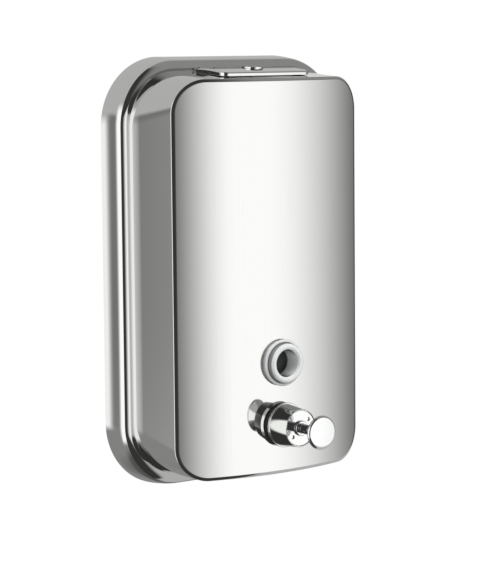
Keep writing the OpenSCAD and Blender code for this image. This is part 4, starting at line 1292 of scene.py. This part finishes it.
# Cards of the light tent, painted over one another in this order. Each has its left and right end
# and the softness of both, its lower and upper end and their softness, all in degrees as seen from
# the part with straight in front at 0 and right positive, and its level.
TENT_BASE = 0.5
TENT_CARDS = (
    # all round: ground, deep ground and the room at the height of the part, left and right
    (-400, 400, 1, 1, -90, -9, 1, 7, 0.27),
    (-400, 400, 1, 1, -90, -58, 1, 18, 0.1),
    (-400, -60, 1, 1, -7, 10, 9, 8, 0.2),
    (60, 400, 1, 1, -7, 4, 9, 8, 0.2),
    # white backdrop behind, left and right
    (-185, -137.4, 1, 7.8, -12, 0, 8, 20, 1.05),
    (141, 185, 8, 1, -12, 8, 8, 4, 1.05),
    # the dark room in front, its upper right and the floor on the right
    (-53, 96, 8, 24, -95, 95, 1, 1, 0.04),
    (32, 112, 30, 20, 14, 95, 8, 1, 0.28),
    (29, 112, 7, 20, -72, -20, 16, 4, 0.5),
    # broad card on the right of the camera and a narrower one on its left
    (15, 28, 36, 72, -17, 6, 4, 3, 1.19),
    (-103, -61, 25, 5.6, -30, 20, 10, 14, 1.2),
)
# Camera: its direction round and above the part and its roll, in degrees, its place and its lens on
# a sensor, both in mm
CAMERA_ANGLES = -36.53, 6.12, 0.51
CAMERA_PLACE = -0.686899, -0.958457, 0.118333
CAMERA_LENS, CAMERA_SENSOR = 141.378, 36.0
# Soft lamp: its sides, its place and its tilt in degrees
LAMP_SIDES = 1.6, 1.2
LAMP_PLACE = 0.35, -0.7, 1.55
LAMP_TILT = 24, 13, 0
# Floor: its radius, the distances between which it fades to white, and its two tones
FLOOR_RADIUS = 6.0
FLOOR_FADE = 0.5, 1.5
FLOOR_TONES = (0.83, 0.83, 0.825), (0.86, 0.86, 0.855)
# How far below the floor the tent ends
TENT_BELOW = 0.05


def seen_rays(tree):
    """1 for what the camera sees and what metal and glass show, and 0 for light on the rest."""
    rays = tree.nodes.new("ShaderNodeLightPath").outputs
    shown = math_node(tree, "MAXIMUM", rays["Is Camera Ray"], rays["Is Glossy Ray"])
    return math_node(tree, "MAXIMUM", shown, rays["Is Transmission Ray"])


def stage_mesh(name, points):
    """Grid of points, joined round its columns, as a stage object that isn't part of the object."""
    flat, _, quads = strip(points, np.zeros_like(points), True)
    mesh = bpy.data.meshes.new(name)
    mesh.from_pydata(flat.tolist(), [], quads.tolist())
    made = bpy.data.objects.new(name, mesh)
    bpy.context.scene.collection.objects.link(made)
    return made


class DISPENSER_OT_stage(bpy.types.Operator):
    """Sets up the camera, the pale floor, the light tent and the soft lamp"""

    bl_idname = "dispenser.stage"
    bl_label = "Stage"

    def execute(self, context):
        g, scene = context.scene.studio, context.scene
        light_card()
        scene.view_settings.view_transform = "Standard"
        self.camera(scene)
        self.world(scene, g)
        self.floor(g)
        self.tent(g)
        lamp = bpy.data.lights.new("soft_lamp", "AREA")
        lamp.shape, lamp.energy = "RECTANGLE", g.key
        lamp.size, lamp.size_y = LAMP_SIDES
        holder = bpy.data.objects.new("soft_lamp", lamp)
        holder.location = LAMP_PLACE
        holder.rotation_euler = np.radians(LAMP_TILT)
        holder.visible_glossy = False
        scene.collection.objects.link(holder)
        return {"FINISHED"}

    def camera(self, scene):
        """Camera of the photograph, turned about its own axis by the small roll of the picture."""
        a, e, r = (math.radians(angle) for angle in CAMERA_ANGLES)
        back = np.array([math.sin(a) * math.cos(e), -math.cos(a) * math.cos(e), math.sin(e)])
        right = np.array([math.cos(a), math.sin(a), 0.0])
        up = np.cross(back, right)
        across = right * math.cos(r) - up * math.sin(r)
        above = right * math.sin(r) + up * math.cos(r)
        data = bpy.data.cameras.new("camera")
        data.lens, data.sensor_width, data.clip_start = CAMERA_LENS, CAMERA_SENSOR, 0.01
        holder = bpy.data.objects.new("camera", data)
        matrix = np.eye(4)
        matrix[:3] = np.stack((across, above, back, CAMERA_PLACE), -1)
        holder.matrix_world = matrix.T
        scene.collection.objects.link(holder)
        scene.camera = holder

    def world(self, scene, g):
        """White to the camera and in metal and glass, and a softer light on matt surfaces."""
        made = bpy.data.worlds.new("studio")
        made.use_nodes = True
        scene.world = made
        tree = made.node_tree
        tree.nodes.clear()
        level = math_node(tree, "MULTIPLY", seen_rays(tree), 1.0 - g.ambient)
        level = math_node(tree, "ADD", level, g.ambient)
        white = {"Color": (1.0, 1.0, 1.0, 1.0), "Strength": level}
        light = add_node(tree, "Background", white)
        add_node(tree, "OutputWorld", {"Surface": light.outputs[0]})

    def floor(self, g):
        """Round pale floor that fades to the white of the background with distance."""
        a = around(64)
        spin = np.stack((np.cos(a), np.sin(a)), -1)
        flat = np.linspace(0.0, FLOOR_RADIUS, 13)[:, None, None] * spin
        points = np.concatenate((flat, np.full_like(flat[..., :1], g.floor_height)), -1)
        made = stage_mesh("floor", points)
        tree, shader = new_material("pale_floor")
        shader.inputs["Roughness"].default_value = 0.7
        place = own_place(tree)
        grain = add_node(tree, "TexNoise", {"Vector": place, "Scale": 5.0}).outputs["Fac"]
        tree.links.new(two_tone(tree, grain, *FLOOR_TONES), shader.inputs["Base Color"])
        level = add_node(tree, "VectorMath", {0: place, 1: (1.0, 1.0, 0.0)}, operation="MULTIPLY")
        far = add_node(tree, "VectorMath", {0: level.outputs[0]}, operation="LENGTH")
        fade = smooth_step(tree, far.outputs["Value"], *FLOOR_FADE)
        white = tree.nodes.new("ShaderNodeEmission")
        share_white = math_node(tree, "MULTIPLY", fade, seen_rays(tree))
        ends = {"Fac": share_white, 1: shader.outputs[0], 2: white.outputs[0]}
        rewire(tree, add_node(tree, "MixShader", ends).outputs[0])
        made.data.materials.append(finish("pale_floor"))

    def tent(self, g):
        """Dome of light cards over the part and a flatter bowl below it. Metal and glass show it,
        and matt surfaces are lit by the world and the lamp."""
        a, e = around(120), np.radians(np.linspace(-90.0, 90.0, 61))[:, None]
        flat, up = g.tent_radius * np.cos(e), g.tent_radius * np.sin(e)
        up = np.where(up < 0, up * -(g.floor_height + TENT_BELOW) / g.tent_radius, up)
        points = np.stack(np.broadcast_arrays(flat * np.cos(a), flat * np.sin(a), up), -1)
        made = stage_mesh("tent", points)
        made.visible_camera = made.visible_diffuse = made.visible_shadow = False
        tree, shader = new_material("light_tent")
        tree.nodes.remove(shader)
        aim = add_node(tree, "VectorMath", {0: own_place(tree)}, operation="NORMALIZE")
        x, y, z = add_node(tree, "SeparateXYZ", {0: aim.outputs[0]}).outputs
        turn = math_node(tree, "ARCTAN2", x, math_node(tree, "MULTIPLY", y, -1.0))
        turn = math_node(tree, "DEGREES", turn)
        rise = math_node(tree, "DEGREES", math_node(tree, "ARCSINE", z))
        level = TENT_BASE
        for *ends, strength in TENT_CARDS:
            inputs = {"Turn": turn, "Rise": rise, "Under": level, "Level": strength}
            card = placed_group(tree, "light_card", **inputs, **dict(zip(CARD_ENDS, ends)))
            level = card.outputs["Level"]
        rewire(tree, add_node(tree, "Emission", {"Color": level}).outputs[0])
        made.data.materials.append(finish("light_tent"))


class DISPENSER_PT_panel(bpy.types.Panel):
    """Lists the pieces and their sizes"""

    bl_label = "Soap dispenser"
    bl_idname = "DISPENSER_PT_panel"
    bl_space_type = "VIEW_3D"
    bl_region_type = "UI"
    bl_category = "Dispenser"

    def draw(self, context):
        for operator in OPERATORS:
            self.layout.operator(operator.bl_idname)
        for name in GROUPS:
            sizes = getattr(context.scene, name)
            box = self.layout.box()
            for key in sizes.bl_rna.properties.keys():
                if key not in {"rna_type", "name"}:
                    box.prop(sizes, key)


GROUPS = {
    "shell": ShellSizes,
    "lid": LidSizes,
    "pump": PumpSizes,
    "sight_window": WindowSizes,
    "finishes": Finishes,
    "studio": StageSettings,
}
OPERATORS = (
    DISPENSER_OT_stage,
    DISPENSER_OT_materials,
    DISPENSER_OT_shell,
    DISPENSER_OT_lid,
    DISPENSER_OT_window,
    DISPENSER_OT_pump,
    DISPENSER_OT_inside,
)


def register():
    """Registers the classes and hangs the sizes on the scene."""
    for cls in (*GROUPS.values(), *OPERATORS, DISPENSER_PT_panel):
        bpy.utils.register_class(cls)
    for name, cls in GROUPS.items():
        setattr(bpy.types.Scene, name, PointerProperty(type=cls))


def unregister():
    """Takes the sizes off the scene and the classes out again."""
    for name in GROUPS:
        delattr(bpy.types.Scene, name)
    for cls in reversed((*GROUPS.values(), *OPERATORS, DISPENSER_PT_panel)):
        bpy.utils.unregister_class(cls)


def main():
    register()
    for operator in OPERATORS:
        space, name = operator.bl_idname.split(".")
        getattr(getattr(bpy.ops, space), name)()


if __name__ == "__main__":
    main()
